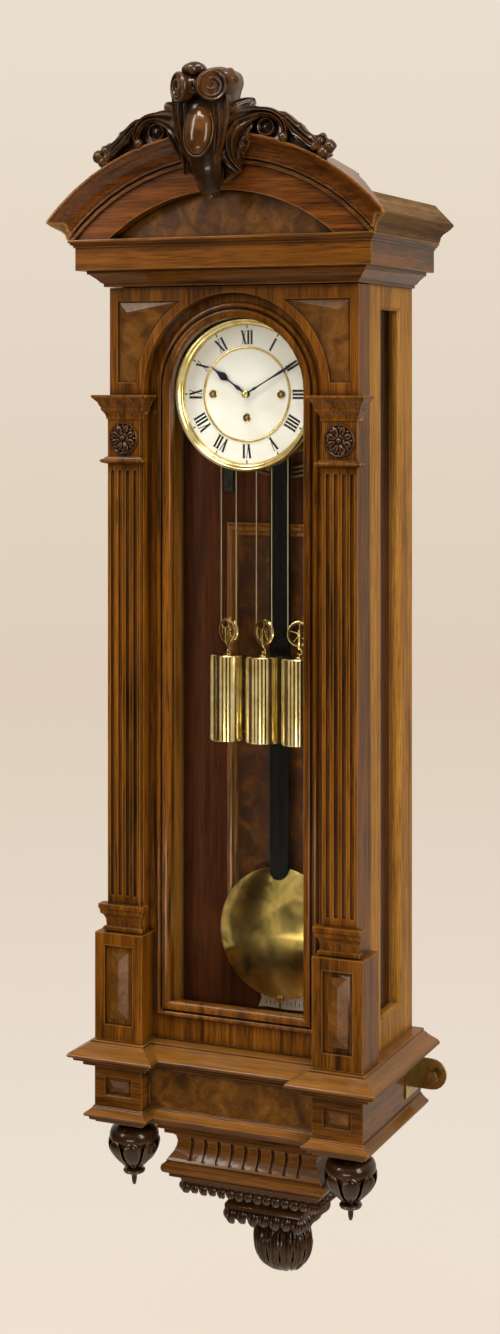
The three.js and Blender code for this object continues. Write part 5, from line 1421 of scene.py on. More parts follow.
@dataclass
class Pendulum:
    """Brass bob with its rating nut and pointer on a reeded rod, and the silvered beat plate behind it."""

    shop: Shop
    y: float = -36.0
    height: float = -716.0
    bob_radius: float = 87.5
    bob_rise: float = 17.0
    bob_edge: float = 0.2
    front_radii: Sequence[float] = (0, 10, 20, 30, 40, 47.5, 55, 62.5, 70, 73, 76, 79, 82, 86.6, 87.5)
    back_radii: Sequence[float] = (87.5, 86.6, 82, 76.5, 71, 65.5, 60, 52.5, 45, 37.5, 30, 22.5, 15, 7.5, 0)
    rod_half: float = 13.5
    rod_deep: float = 5.0
    rod_top: float = -59.7
    rod_end: float = -643.0
    flutes: Sequence[float] = (-7.5, 0.0, 7.5)
    flute_half: float = 2.4
    flute_depth: float = 1.6
    flute_fade: float = 8.0
    socket_half: float = 14.4
    socket_top: float = -600.0
    socket_end: float = -644.5
    # The socket's cut along Y, from the bob's middle plane
    socket_cut: Point = (-60.0, 7.0)
    nut: Sequence[Point] = ((2.6, 4), (2.6, 0), (3.4, -1), (6.0, -2.4), (6.4, -4), (6.4, -8), (6.0, -9.6),
                            (3.6, -11), (2.2, -12), (2.0, -13.6), (0, -14))
    nut_z: float = -797.0
    knurls: int = 24
    knurl_depth: float = 0.03
    knurled: Point = (-9.0, -3.0)
    needle: Sequence[Point] = ((1.1, 0), (1.2, -3), (1.0, -10), (0.3, -17))
    needle_z: float = -806.0
    # Right half of the beat plate from its top to its foot, and the places of its scale lines
    plate: Sequence[Point] = ((0, -802), (28, -801.4), (42, -798), (37, -811), (42, -824), (30, -822.6), (0, -824))
    plate_back: float = -12.0
    plate_front: float = -13.3
    ticks: Sequence[int] = (-30, -24, -18, -12, -6, 0, 6, 12, 18, 24, 30)
    tick_foot: float = -819.0
    tick_lengths: Point = (5.5, 8.5)
    tick_half: float = 0.45
    tick_back: float = -13.2
    tick_front: float = -13.42

    def build(self) -> None:
        """Make the bob, the nut, the needle, the rod and the beat plate."""
        self.shop.settle("pendulum_bob_spun", [self.bob()], Look.BOB, "pendulum", "brass", ["pendulum_bob"], 30)
        foot, head = self.knurled
        nut = Bench.turn(self.nut, Vector((0, self.y, self.nut_z)), UPWARDS, 32,
                         lambda h, a: 1 + (self.knurl_depth * math.cos(self.knurls * a) if foot < h < head else 0.0))
        self.shop.settle("rating_nut", [nut], Look.BRASS, "pendulum", "brass", ["pendulum_bob"])
        needle = Bench.turn(self.needle, Vector((0, self.y, self.needle_z)), UPWARDS, 10)
        self.shop.settle("pendulum_needle", [needle], Look.STEEL, "pendulum", "brass")
        self.shop.settle("pendulum_rod_reeded", [self.rod()], Look.EBONY, "pendulum", "ebonised_wood",
                         ["pendulum_rod"], 20)
        outline = list(self.plate) + [(-x, z) for x, z in self.plate[-2:0:-1]]
        plate = Bench.slab(outline, self.plate_back, self.plate_front)
        self.shop.settle("beat_plate_silvered", [plate], Look.SILVER, "case", "silvered", ["beat_plate"], 20)
        self.shop.settle("beat_plate_ticks", [self.tick(x) for x in self.ticks], Look.PAINT, "case", "silvered")

    def rod(self) -> Piece:
        """Reeded wooden rod with a rounded end.

        Returns:
            The rod.
        """
        half, deep, top, end = self.rod_half, self.rod_deep, self.rod_top, self.rod_end
        start, stop, fade = top - 40, end + 30, self.flute_fade
        levels = [(top, 0.9)] + [(z, 1.0) for z in (top - 1.4, start, start - fade, stop + fade, stop)]
        for k in range(11):
            angle = math.pi / 2 * k / 10
            levels.append((end + half * (1 - math.sin(angle)), max(math.cos(angle), 0.03)))
        rings = []
        for z, share in levels:
            cut = self.flute_depth * max(0.0, min(1.0, (start - z) / fade, (z - stop) / fade))
            outline = [(half * share, deep - 0.8), (-half * share, deep - 0.8), (-half * share, 0.8 - deep)]
            for k in range(33):
                x = (k / 16 - 1) * (half - 0.8)
                flute = max(0.0, *(1 - ((x - middle) / self.flute_half) ** 2 for middle in self.flutes))
                outline.append((x * share, -(deep - cut * math.sqrt(flute))))
            outline.append((half * share, 0.8 - deep))
            rings.append([Vector((x, self.y + y, z)) for x, y in outline])
        return Bench.loft(rings)

    def bob(self) -> Piece:
        """Spun bob with a socket cut in its front for the end of the rod.

        Returns:
            The bob.
        """
        profile = [(r, self.crown(r)) for r in self.front_radii] + [(r, -self.crown(r)) for r in self.back_radii]
        piece = Bench.turn(profile, Vector((0, self.y, self.height)), FRONT, 128)
        half, end = self.socket_half, self.socket_end
        outline = [(half, self.socket_top), (-half, self.socket_top)]
        outline += [(-half * math.cos(math.pi * k / 16), end + half - half * math.sin(math.pi * k / 16))
                    for k in range(17)]
        cutter = Bench.slab(outline, *(self.y + depth for depth in self.socket_cut))
        Bench.pick(piece)
        cut = piece.modifiers.new("socket", "BOOLEAN")
        cut.operation = "DIFFERENCE"
        cut.solver = "EXACT"
        cut.object = cutter
        bpy.ops.object.modifier_apply(modifier=cut.name)
        bpy.data.objects.remove(cutter, do_unlink=True)
        return piece

    def crown(self, radius: float) -> float:
        """Height of each face of the bob at a radius, a true curve that ends just inside the rim."""
        share = min(radius, self.bob_radius - 0.1) / self.bob_radius
        return self.bob_edge + self.bob_rise * (1 - share ** 2) ** 0.8

    def tick(self, x: int) -> Piece:
        """Line of the beat plate's scale, longer at each second step.

        Args:
            x: Its place across.

        Returns:
            The painted line.
        """
        short, long = self.tick_lengths
        head = self.tick_foot + (short if x % 12 else long)
        line = tapered((x, self.tick_foot, self.tick_half), (x, head, self.tick_half))
        return Bench.slab(line, self.tick_back, self.tick_front)


@dataclass
class WeightLane:
    """One weight with its pulley and its line."""

    shop: Shop
    word: str
    letter: str
    x: float
    turn_deg: float
    line_top: float
    drum_side: int = 1
    y: float = -87.0
    radius: float = 24.0
    top: float = -341.0
    foot: float = -454.0
    reeds: int = 30
    reed_depth: float = 0.07
    cap: float = 2.5
    # The flank without reeds, by its middle and the cosine of half its angle
    plain: float = 0.62
    plain_deg: float = -8.0
    pulley: float = -310.5
    rim: float = 16.5
    groove: float = 14.4
    hub: Sequence[Point] = ((1.9, -2.6), (3.4, -2.4), (3.6, 0), (3.4, 2.4), (1.9, 2.6))
    spokes: int = 5
    # Half widths of a spoke and its points from the pulley's centre, and half its depth
    spoke_halves: Sequence[float] = (1.3, 0.9, 0.8, 1.3)
    spoke_route: Sequence[float] = (3.0, 6.0, 9.5, 13.2)
    spoke_depth: float = 0.9
    line_radius: float = 15.4
    line_half: float = 0.65
    # The fork and the hook, as height and distance from the weight's axis
    fork: Sequence[Point] = ((-305.5, 4.0), (-312, 4.2), (-322, 4.2), (-329, 2.6), (-331.5, 0.2))
    bend: Sequence[Point] = ((-330, 0.0), (-332.4, 1.6), (-335, 3.0), (-337.8, 1.2), (-337.6, -1.8), (-335.6, -2.4))
    pin: Sequence[Point] = ((1.6, -5.2), (2.2, -5.0), (2.2, -4.4), (1.5, -4.2), (1.5, 4.2), (2.2, 4.4), (2.2, 5.0),
                            (1.6, 5.2))
    ring_z: float = -338.4
    ring_half: Point = (2.6, 2.6)
    boss: Sequence[Point] = ((0, 1.2), (4, 1.0), (6.5, 0.6), (7, -0.6), (0, -0.8))

    def build(self) -> None:
        """Make the weight, the hook, the pulley and the line."""
        node = f"weight_{self.word}"
        body = f"weight_{self.letter}"
        self.shop.settle(f"{node}_reeded", [self.tube()], Look.WEIGHT, body, "brass", [node], 25)
        self.shop.settle(f"hook_{self.word}", self.hook(), Look.BRASS, body, "brass", [node], 50)
        self.shop.settle(f"pulley_{self.word}_spoked", self.wheel(), Look.BRASS, f"sheave_{self.letter}", "brass",
                         [f"pulley_{self.word}"])
        self.line()

    def middle(self, z: float) -> Vector:
        """Point on the weight's axis at a height."""
        return Vector((self.x, self.y, z))

    @property
    def along(self) -> Vector:
        """Direction across the pulley's face, from the drum's line to the hook's."""
        return aimed(RIGHTWARDS, -FRONT, math.radians(self.turn_deg))

    @property
    def axle(self) -> Vector:
        """Direction of the pulley's axle."""
        return self.along.cross(UPWARDS).normalized()

    def tube(self) -> Piece:
        """Reeded brass tube with plain caps.

        Returns:
            The tube.
        """
        r, top, foot = self.radius, self.top, self.foot
        profile = ((0, top), (r - 4, top), (r - 0.8, top - 0.3), (r - 0.1, top - 1.2), (r - 0.1, top - 1.8),
                   (r, top - 2.6), (r, foot + 2.6), (r - 0.1, foot + 1.8), (r - 0.1, foot + 1.2),
                   (r - 0.8, foot + 0.3), (r - 4, foot), (0, foot))

        def reeding(height: float, angle: float) -> float:
            """Narrow grooves between reeds, none near the caps or on the plain flank.

            Args:
                height: A height on the tube.
                angle: An angle round it.

            Returns:
                Scale of the radius there.
            """
            inside = foot + self.cap < height < top - self.cap
            bare = math.cos(angle - math.radians(self.plain_deg)) > self.plain
            groove = max(0.0, math.cos(self.reeds * angle)) ** 0.7
            return 1 - (self.reed_depth * groove if inside and not bare else 0.0)

        return Bench.loft([oval(self.middle(height), RIGHTWARDS, -FRONT, max(radius, FINEST), max(radius, FINEST),
                                240, lambda angle, h=height: reeding(h, angle)) for radius, height in profile])

    def hook(self) -> list[Piece]:
        """Fork round the pulley with its pin, and hook, ring and boss on the weight's cap.

        Returns:
            Their parts.
        """
        along, axle = self.along, self.axle
        parts = []
        for sign in (-1, 1):
            path = flowing([self.middle(z) + axle * (gap * sign) for z, gap in self.fork], 5)
            parts.append(Bench.draw(path, along, (0.8, 2.4), 10))
        parts.append(Bench.turn(self.pin, self.middle(self.pulley), axle, 16))
        path = flowing([self.middle(z) + along * gap for z, gap in self.bend], 6)
        parts.append(Bench.draw(path, axle, (0.9, 0.9), 8))
        ring = hoop(self.middle(self.ring_z), axle, UPWARDS, self.ring_half, 24, (0.7, 0.7), 8)
        parts.append(Bench.loft(ring, closed=True))
        parts.append(Bench.turn(self.boss, self.middle(self.top), UPWARDS, 24))
        return parts

    def wheel(self) -> list[Piece]:
        """Grooved rim, hub and tapered spokes.

        Returns:
            The pulley's parts.
        """
        axle, centre, rim = self.axle, self.middle(self.pulley), self.rim
        section = ((rim, -2.5), (self.groove, -0.9), (self.groove, 0.9), (rim, 2.5), (rim - 0.9, 2.6),
                   (rim - 3.6, 1.6), (rim - 3.9, 0), (rim - 3.6, -1.6), (rim - 0.9, -2.6))
        parts = [Bench.turn(section, centre, axle, 72, closed=True),
                 Bench.turn(self.hub, centre, axle, 24, closed=True)]
        for i in range(self.spokes):
            out = aimed(self.along, UPWARDS, math.tau * (i + 0.25) / self.spokes)
            path = [centre + out * distance for distance in self.spoke_route]
            parts.append(Bench.loft(swept(path, axle,
                                          lambda k: rounded(self.spoke_halves[k], self.spoke_depth, 8))))
        return parts

    def line(self) -> None:
        """Line from its drum round the pulley and up to its hook."""
        drum = -self.line_radius * self.drum_side
        heights = [self.line_top + (self.pulley - self.line_top) * share for share in (0.0, 0.2, 0.4, 0.6, 0.8)]
        path = [self.middle(z) + self.along * drum for z in heights]
        for i in range(17):
            angle = math.pi * i / 16
            path.append(self.middle(self.pulley - self.line_radius * math.sin(angle))
                        + self.along * (drum * math.cos(angle)))
        path += [self.middle(z) - self.along * drum for z in reversed(heights)]
        cord = Bench.draw(path, self.axle, (self.line_half, self.line_half), 8)
        piece = self.shop.coat(f"line_{self.word}_stranded", [cord], Look.LINE, 60)
        tuple(self.middle(self.line_top) * MM)
        tuple(self.middle(self.pulley + 14) * MM)
        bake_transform(piece)
        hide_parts(f"cable_{self.word}")


@dataclass
class Gong:
    """Wire gong coiled behind the movement, screwed to its block."""

    shop: Shop
    turns: int = 3
    radius: float = 116.0
    pitch: float = 6.0
    wire: float = 1.75
    y: float = -22.0
    block_x: float = -85.0
    block_z: float = -84.0
    steps: int = 72
    # Foot and clamp of the block, each by its lower and upper end, half its width and its front
    blocks: Sequence[tuple[float, float, float, float]] = ((-133, -77, 7.0, -18.0), (-93, -77, 6.0, -25.0))
    screw: Sequence[Point] = ((3.4, 0), (3.4, 1.2), (2.6, 2.0), (0, 2.2))
    screw_heights: Sequence[float] = (-104, -122)

    def build(self) -> None:
        """Make the coil and its block."""
        start = math.atan2(self.block_z, self.block_x)
        path = []
        for i in range(self.turns * self.steps + 1):
            turn = i / self.steps
            out = aimed(RIGHTWARDS, UPWARDS, start - math.tau * turn)
            path.append(out * (self.radius - self.pitch * turn) + Vector((0, self.y, 0)))
        coil = Bench.draw(path, FRONT, (self.wire, self.wire), 8)
        self.shop.settle("gong_coil", [coil], Look.WIRE, "case", "gong_wire", ["gong"], 80)
        parts = [self.block(*sizes) for sizes in self.blocks]
        for z in self.screw_heights:
            parts.append(Bench.turn(self.screw, Vector((self.block_x, self.blocks[0][3], z)), FRONT, 20))
        self.shop.settle("gong_block_cast", parts, Look.IRON, "case", "gong_wire", ["gong"], 30)

    def block(self, low: float, high: float, half: float, front: float) -> Piece:
        """Cast block with rounded front edges.

        Args:
            low: Height of its lower end.
            high: Height of its upper end.
            half: Half its width.
            front: Place of its front along Y.

        Returns:
            The block.
        """
        middle = (low + high) / 2
        rings = []
        for y, share in ((-12, 1.0), (front + 1.2, 1.0), (front + 0.3, 0.94), (front, 0.84)):
            tall = (high - low) / 2 * (1 - (1 - share) * 0.25)
            outline = tapered((0, middle - tall, half * share), (0, middle + tall, half * share))
            rings.append([Vector((self.block_x + x, y, z)) for x, z in outline])
        return Bench.loft(rings)


@dataclass
class Rosettes:
    """Carved rosettes at the heads of the pilasters."""

    shop: Shop
    x: float = 150.2
    y: float = -191.4
    z: float = -56.5
    count: int = 8
    disc: Sequence[Point] = ((20.5, 0), (20.5, 2.4), (19.3, 3.6), (17.9, 2.8), (16.5, 1.6), (7.5, 1.8), (6.8, 3.4),
                             (5.4, 4.2), (4.4, 3.6), (3.8, 5.6), (2.2, 7.2), (0, 7.7))
    petal: Leaf = Leaf((2.8, 5.6, 7.6, 6.8, 2.4), (1.6, 1.6), 1, 0.12, 1.4, 0.0, steps=1, count=14)
    petal_route: Sequence[Point] = ((6, 2.6), (9, 3.4), (12, 3.8), (15, 3.4), (17.6, 2.6))
    bead: Sequence[Point] = ((2.0, 1.2), (2.0, 2.6), (1.4, 3.8), (0, 4.2))
    bead_reach: float = 15.6

    def build(self) -> None:
        """Make both rosettes: a disc with a bud, spoon-shaped petals and a bead between each two."""
        for side in Side:
            centre = Vector((self.x * side.value, self.y, self.z))
            parts = [Bench.turn(self.disc, centre, FRONT, 56)]
            for i in range(self.count):
                out = aimed(RIGHTWARDS, UPWARDS, math.tau * (i + 0.5) / self.count)
                parts.append(self.petal.carve([centre + out * d + FRONT * h for d, h in self.petal_route]))
            for i in range(self.count):
                out = aimed(RIGHTWARDS, UPWARDS, math.tau * i / self.count)
                parts.append(Bench.turn(self.bead, centre + out * self.bead_reach, FRONT, 10))
            self.shop.settle(f"rosette_{side.word}_carved", parts, Look.CARVING, "door", "carved_walnut",
                             [f"rosette_{side.word}"], 60)


@dataclass(frozen=True)
class Hip:
    """Where a hipped field lies: its edges across and upright, and the distances from the wall that shape it."""

    across: Point
    upright: Point
    plane: float
    seen: float
    crown: float


@dataclass
class Panels:
    """Raised burl fields of the spandrels, the plinths and the base piers."""

    shop: Shop
    lift: float = 0.15
    spandrel_x: float = 161.6
    spandrel_top: float = 119.0
    spandrel_foot: float = 15.0
    arch: Point = (135.2, 4.5)
    sunk: float = 183.6
    apex: Place = (147.6, 189.1, 105.0)
    # Size of the pyramid's tip as a share of its rim, and of the way in that a hip's ridge lies
    tip: float = 0.002
    ridge: float = 0.995
    plinth: Hip = Hip((131.8, 171.6), (-808.0, -707.0), 198.1, 200.1, 203.6)
    pier: Hip = Hip((133.35, 170.35), (-899.5, -875.5), 198.9, 200.9, 203.9)

    def build(self) -> None:
        """Make the fields."""
        for side in Side:
            fields = [self.spandrel(side), self.hipped(side, self.plinth)]
            self.shop.settle(f"door_fields_{side.word}_burl", fields, Look.FIELD, "door", "burl", (), 5)
            self.shop.settle(f"base_field_{side.word}_burl", [self.hipped(side, self.pier)], Look.FIELD, "case",
                             "burl", (), 5)

    def spandrel(self, side: Side) -> Piece:
        """Three-cornered pyramid beside the arch.

        Args:
            side: Left or right.

        Returns:
            The pyramid.
        """
        radius, height = self.arch
        start = math.asin((self.spandrel_top - height) / radius)
        end = math.asin((self.spandrel_foot - height) / radius)
        outline = [(self.spandrel_x, self.spandrel_foot), (self.spandrel_x, self.spandrel_top)]
        for i in range(25):
            angle = start + (end - start) * i / 24
            outline.append((radius * math.cos(angle), height + radius * math.sin(angle)))
        rim = [Vector((side.value * x, -self.sunk - self.lift, z)) for x, z in outline]
        x, y, z = self.apex
        top = Vector((side.value * x, -y - self.lift, z))
        return Bench.loft([rim, [top + (point - top) * self.tip for point in rim]])

    def hipped(self, side: Side, place: Hip) -> Piece:
        """Field that slopes up from its four edges to a ridge, from where it leaves its recess.

        Args:
            side: Left or right.
            place: Where it lies.

        Returns:
            The field.
        """
        (x0, x1), (z0, z1) = place.across, place.upright
        half = min(x1 - x0, z1 - z0) / 2
        inset = half * (place.seen - place.plane) / (place.crown - place.plane)
        rings = []
        for cut, y in ((inset, place.seen), (half * self.ridge, place.crown)):
            corners = ((x0 + cut, z0 + cut), (x1 - cut, z0 + cut), (x1 - cut, z1 - cut), (x0 + cut, z1 - cut))
            rings.append([Vector((side.value * x, -y - self.lift, z)) for x, z in corners])
        return Bench.loft(rings)


@dataclass(frozen=True)
class Fringe:
    """A row of drooping leaves: half the board's width, its depth, the height of the roots, and leaf sizes."""

    half: float
    depth: float
    z: float
    front: int
    flank: int
    wide: float
    long: float


@dataclass
class Underside:
    """Carved tiers, pod and turned finials under the base."""

    shop: Shop
    # Boards of the tiers, as half width, depth and height of each level
    tiers: Sequence[Sequence[Place]] = (
        ((98, 138, -1013), (98, 138, -1020), (97, 137, -1024), (94, 134, -1028), (86, 124, -1034), (70, 104, -1039),
         (56, 88, -1042)),
        ((42, 70, -1040), (44, 73, -1047), (49, 80, -1055), (55, 89, -1061), (57, 92, -1064), (57, 92, -1068),
         (54, 88, -1070), (46, 78, -1080), (36, 64, -1092), (28, 52, -1104)),
    )
    corner: float = 5.0
    fringes: Sequence[Fringe] = (Fringe(96, 136, -1025, 15, 11, 7.0, 14.0), Fringe(55, 90, -1070, 7, 6, 8.4, 21.0))
    # A drooping leaf: its widths as shares of its row's, its heights, and the length of every other one
    drop_widths: Sequence[float] = (1.5, 1.9, 1.8, 1.5, 1.0, 0.3)
    drop_heights: Sequence[float] = (3.2, 3.6, 3.8, 3.4, 2.6, 1.2)
    drop_short: float = 0.9
    # The pod, as half width, depth and height of each level, and its seven leaves, as reach and height
    pod: Sequence[Place] = ((24, 38, -1094), (28, 46, -1100), (34, 53, -1108), (37, 57, -1118), (38, 58, -1128),
                            (36.5, 55, -1139), (32, 48, -1150), (24, 38, -1160), (14, 24, -1168), (5, 10, -1173),
                            (0.4, 2, -1175))
    pod_leaf: Leaf = Leaf((9, 14, 17, 18, 17, 15, 11, 5, 1.5), (1.5, 3.4, 3.8, 3.0, 2.6, 2.4, 2.0, 1.4, 0.8), 3,
                          0.03, 3.0, 0.75, 4, 0.16, 4, 22)
    pod_route: Sequence[Point] = ((26, -1096), (33, -1103), (37.5, -1112), (39.5, -1124), (38, -1138), (31, -1151),
                                  (21, -1161), (10, -1169), (3, -1173))
    pod_leaves: int = 7
    # Where its axis lies, as a share of its depth, and how deep it is cut between its leaves
    pod_axis: float = 0.36
    pod_flute: float = 0.1
    finial_place: Place = (151.85, -160.1, -935.0)
    finial: Sequence[Point] = ((22, 1), (24, -2), (25, -5), (23, -8), (20, -9.5), (19.5, -11), (25, -13), (29.6, -17),
                               (31.6, -22), (32, -27), (31.2, -31), (30.2, -32), (30.4, -33.5), (28.8, -39),
                               (25.6, -46), (21, -53), (15.4, -59), (10.2, -63.5), (7.6, -66.5), (8.6, -68.5),
                               (13.2, -70), (14.4, -72), (13.4, -74.4), (8.4, -76), (4.6, -77.6), (3.6, -80),
                               (3.2, -86), (2.0, -91), (0, -92))
    finial_leaf: Leaf = Leaf((8, 19, 22, 19, 15, 10, 5), (2.2, 2.2), 3, 0.05, 2.4, 0.6, steps=3, count=18)
    finial_route: Sequence[Point] = ((30.4, -29), (31.4, -34), (30.2, -40), (27.0, -47), (22.4, -54), (16.4, -60),
                                     (11.4, -65))
    finial_leaves: int = 8

    def build(self) -> None:
        """Make the tiers, the pod and the finials."""
        parts = [self.board(levels) for levels in self.tiers]
        for fringe in self.fringes:
            parts += self.drops(fringe)
        self.shop.settle("apron_carving_leafy", parts, Look.CARVING, "case", "carved_walnut", ["apron_carving"], 50)
        self.shop.settle("bottom_pod_acanthus", self.bulb(), Look.CARVING, "case", "carved_walnut",
                         ["bottom_pod"], 60)
        for side in Side:
            self.shop.settle(f"drop_finial_{side.word}_carved", self.drop(side), Look.CARVING, "case",
                             "carved_walnut", [f"drop_finial_{side.word}"], 50)

    def board(self, levels: Sequence[Place]) -> Piece:
        """A board with moulded edges, flat against the wall.

        Args:
            levels: Half width, depth and height of each level.

        Returns:
            The board.
        """
        cut, nick = self.corner, self.corner * 0.3
        rings = []
        for half, depth, z in levels:
            side = [(half - cut, -depth), (half - nick, -depth + nick), (half, -depth + cut), (half, 0)]
            rings.append([Vector((-x, y, z)) for x, y in reversed(side)] + [Vector((x, y, z)) for x, y in side])
        return Bench.loft(rings)

    def drops(self, fringe: Fringe) -> list[Piece]:
        """Drooping leaves along the front and the sides of a board.

        Args:
            fringe: The row of leaves.

        Returns:
            The leaves.
        """
        half, depth, z = fringe.half, fringe.depth, fringe.z
        places = [(Vector((-half + 2 * half * (i + 0.5) / fringe.front, -depth, z)), FRONT)
                  for i in range(fringe.front)]
        for side in Side:
            places += [(Vector((side.value * half, -depth + (depth - 0.8) * (i + 0.5) / fringe.flank, z)),
                        RIGHTWARDS * side.value) for i in range(fringe.flank)]
        leaf = Leaf([fringe.wide * share for share in self.drop_widths], self.drop_heights, 3, -0.1, 3.0, 0.5,
                    steps=3, count=22)
        parts = []
        for k, (root, out) in enumerate(places):
            fall = fringe.long * (self.drop_short if k % 2 else 1.0)
            route = ((-9, 2), (-2.5, 0.6), (1.6, -0.3 * fringe.long), (0.4, -0.62 * fall), (-4.5, -0.85 * fall),
                     (-9, -fall))
            parts.append(leaf.carve([root + out * a + UPWARDS * b for a, b in route], out + UPWARDS * 0.001))
        return parts

    def bulb(self) -> list[Piece]:
        """Bulb of the pod, flat against the wall, and the acanthus leaves that wrap it.

        Returns:
            The bulb and its leaves.
        """
        rings = []
        for half, depth, z in self.pod:
            ring = oval(Vector((0, -depth * self.pod_axis, z)), RIGHTWARDS, FRONT, half,
                        depth * (1 - self.pod_axis), 120,
                        lambda angle: 1 - self.pod_flute * abs(math.cos(self.pod_leaves * angle)) ** 3)
            rings.append([Vector((p.x, min(p.y, 0.0), p.z)) for p in ring])
        parts = [Bench.loft(rings)]
        first = self.pod_route[0][0]
        for i in range(self.pod_leaves):
            out = aimed(RIGHTWARDS, FRONT, math.pi * (i + 0.5) / self.pod_leaves)
            route = [FRONT * (21 * min(1.0, half / first)) + Vector((out.x * half, out.y * half * 0.94, z))
                     for half, z in self.pod_route]
            parts.append(self.pod_leaf.carve(route, out))
        return parts

    def drop(self, side: Side) -> list[Piece]:
        """Turned finial with carved leaves round its lower half.

        Args:
            side: Left or right.

        Returns:
            Its parts.
        """
        centre = Vector(side.mirrored([self.finial_place])[0])
        parts = [Bench.turn(self.finial, centre, UPWARDS, 56)]
        for i in range(self.finial_leaves):
            out = aimed(RIGHTWARDS, -FRONT, math.tau * (i + 0.5) / self.finial_leaves)
            route = [centre + out * reach + UPWARDS * z for reach, z in self.finial_route]
            parts.append(self.finial_leaf.carve(route, out))
        return parts


@dataclass
class Casework:
    """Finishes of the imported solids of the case, the door and the movement."""

    shop: Shop
    plan: Sequence[tuple[Look, float, tuple[str, ...]]] = (
        (Look.FRONT, 0.6, ("door_frame", "pilaster_left", "pilaster_right", "spandrel_board")),
        (Look.LEVEL, 0.6, ("cornice", "base", "apron")),
        (Look.ARCH, 0.6, ("pediment_arch",)),
        (Look.BURL, 0.4, ("tympanum", "base_burl_panel")),
        (Look.BURL_DARK, 0.4, ("back_burl_panel",)),
        (Look.RAIL, 0.4, ("back_frame",)),
        (Look.INSIDE, 0.4, ("backboard",)),
        (Look.SIDE, 0.5, ("side_frame_left", "side_frame_right")),
        (Look.ROOF, 0.5, ("roof",)),
        (Look.GLASS, 0.0, ("door_glass", "side_glass_left", "side_glass_right")),
        (Look.BRASS, 0.2, ("hinge_upper", "hinge_lower", "door_catch", "stabilizer_left", "stabilizer_right",
                           "stabilizer_screw_left", "stabilizer_screw_right", "movement_frame", "drum_left",
                           "drum_centre", "drum_right", "escape_wheel")),
        (Look.IRON, 0.3, ("movement_bracket",)),
        (Look.STEEL, 0.15, ("pallets",)),
        (Look.DIAL, 0.15, ("dial",)),
    )

    def build(self, nodes: dict[str, Piece]) -> None:
        """Dress the solids.

        Args:
            nodes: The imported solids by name.
        """
        for look, soften, names in self.plan:
            for name in names:
                self.shop.dress(nodes[name], look, soften)


@dataclass(frozen=True)
class Lamp:
    """A soft rectangular lamp."""

    name: str
    place: Place
    aim: Place
    size: Point
    watts: float
    colour: str = "#FFF9F2"


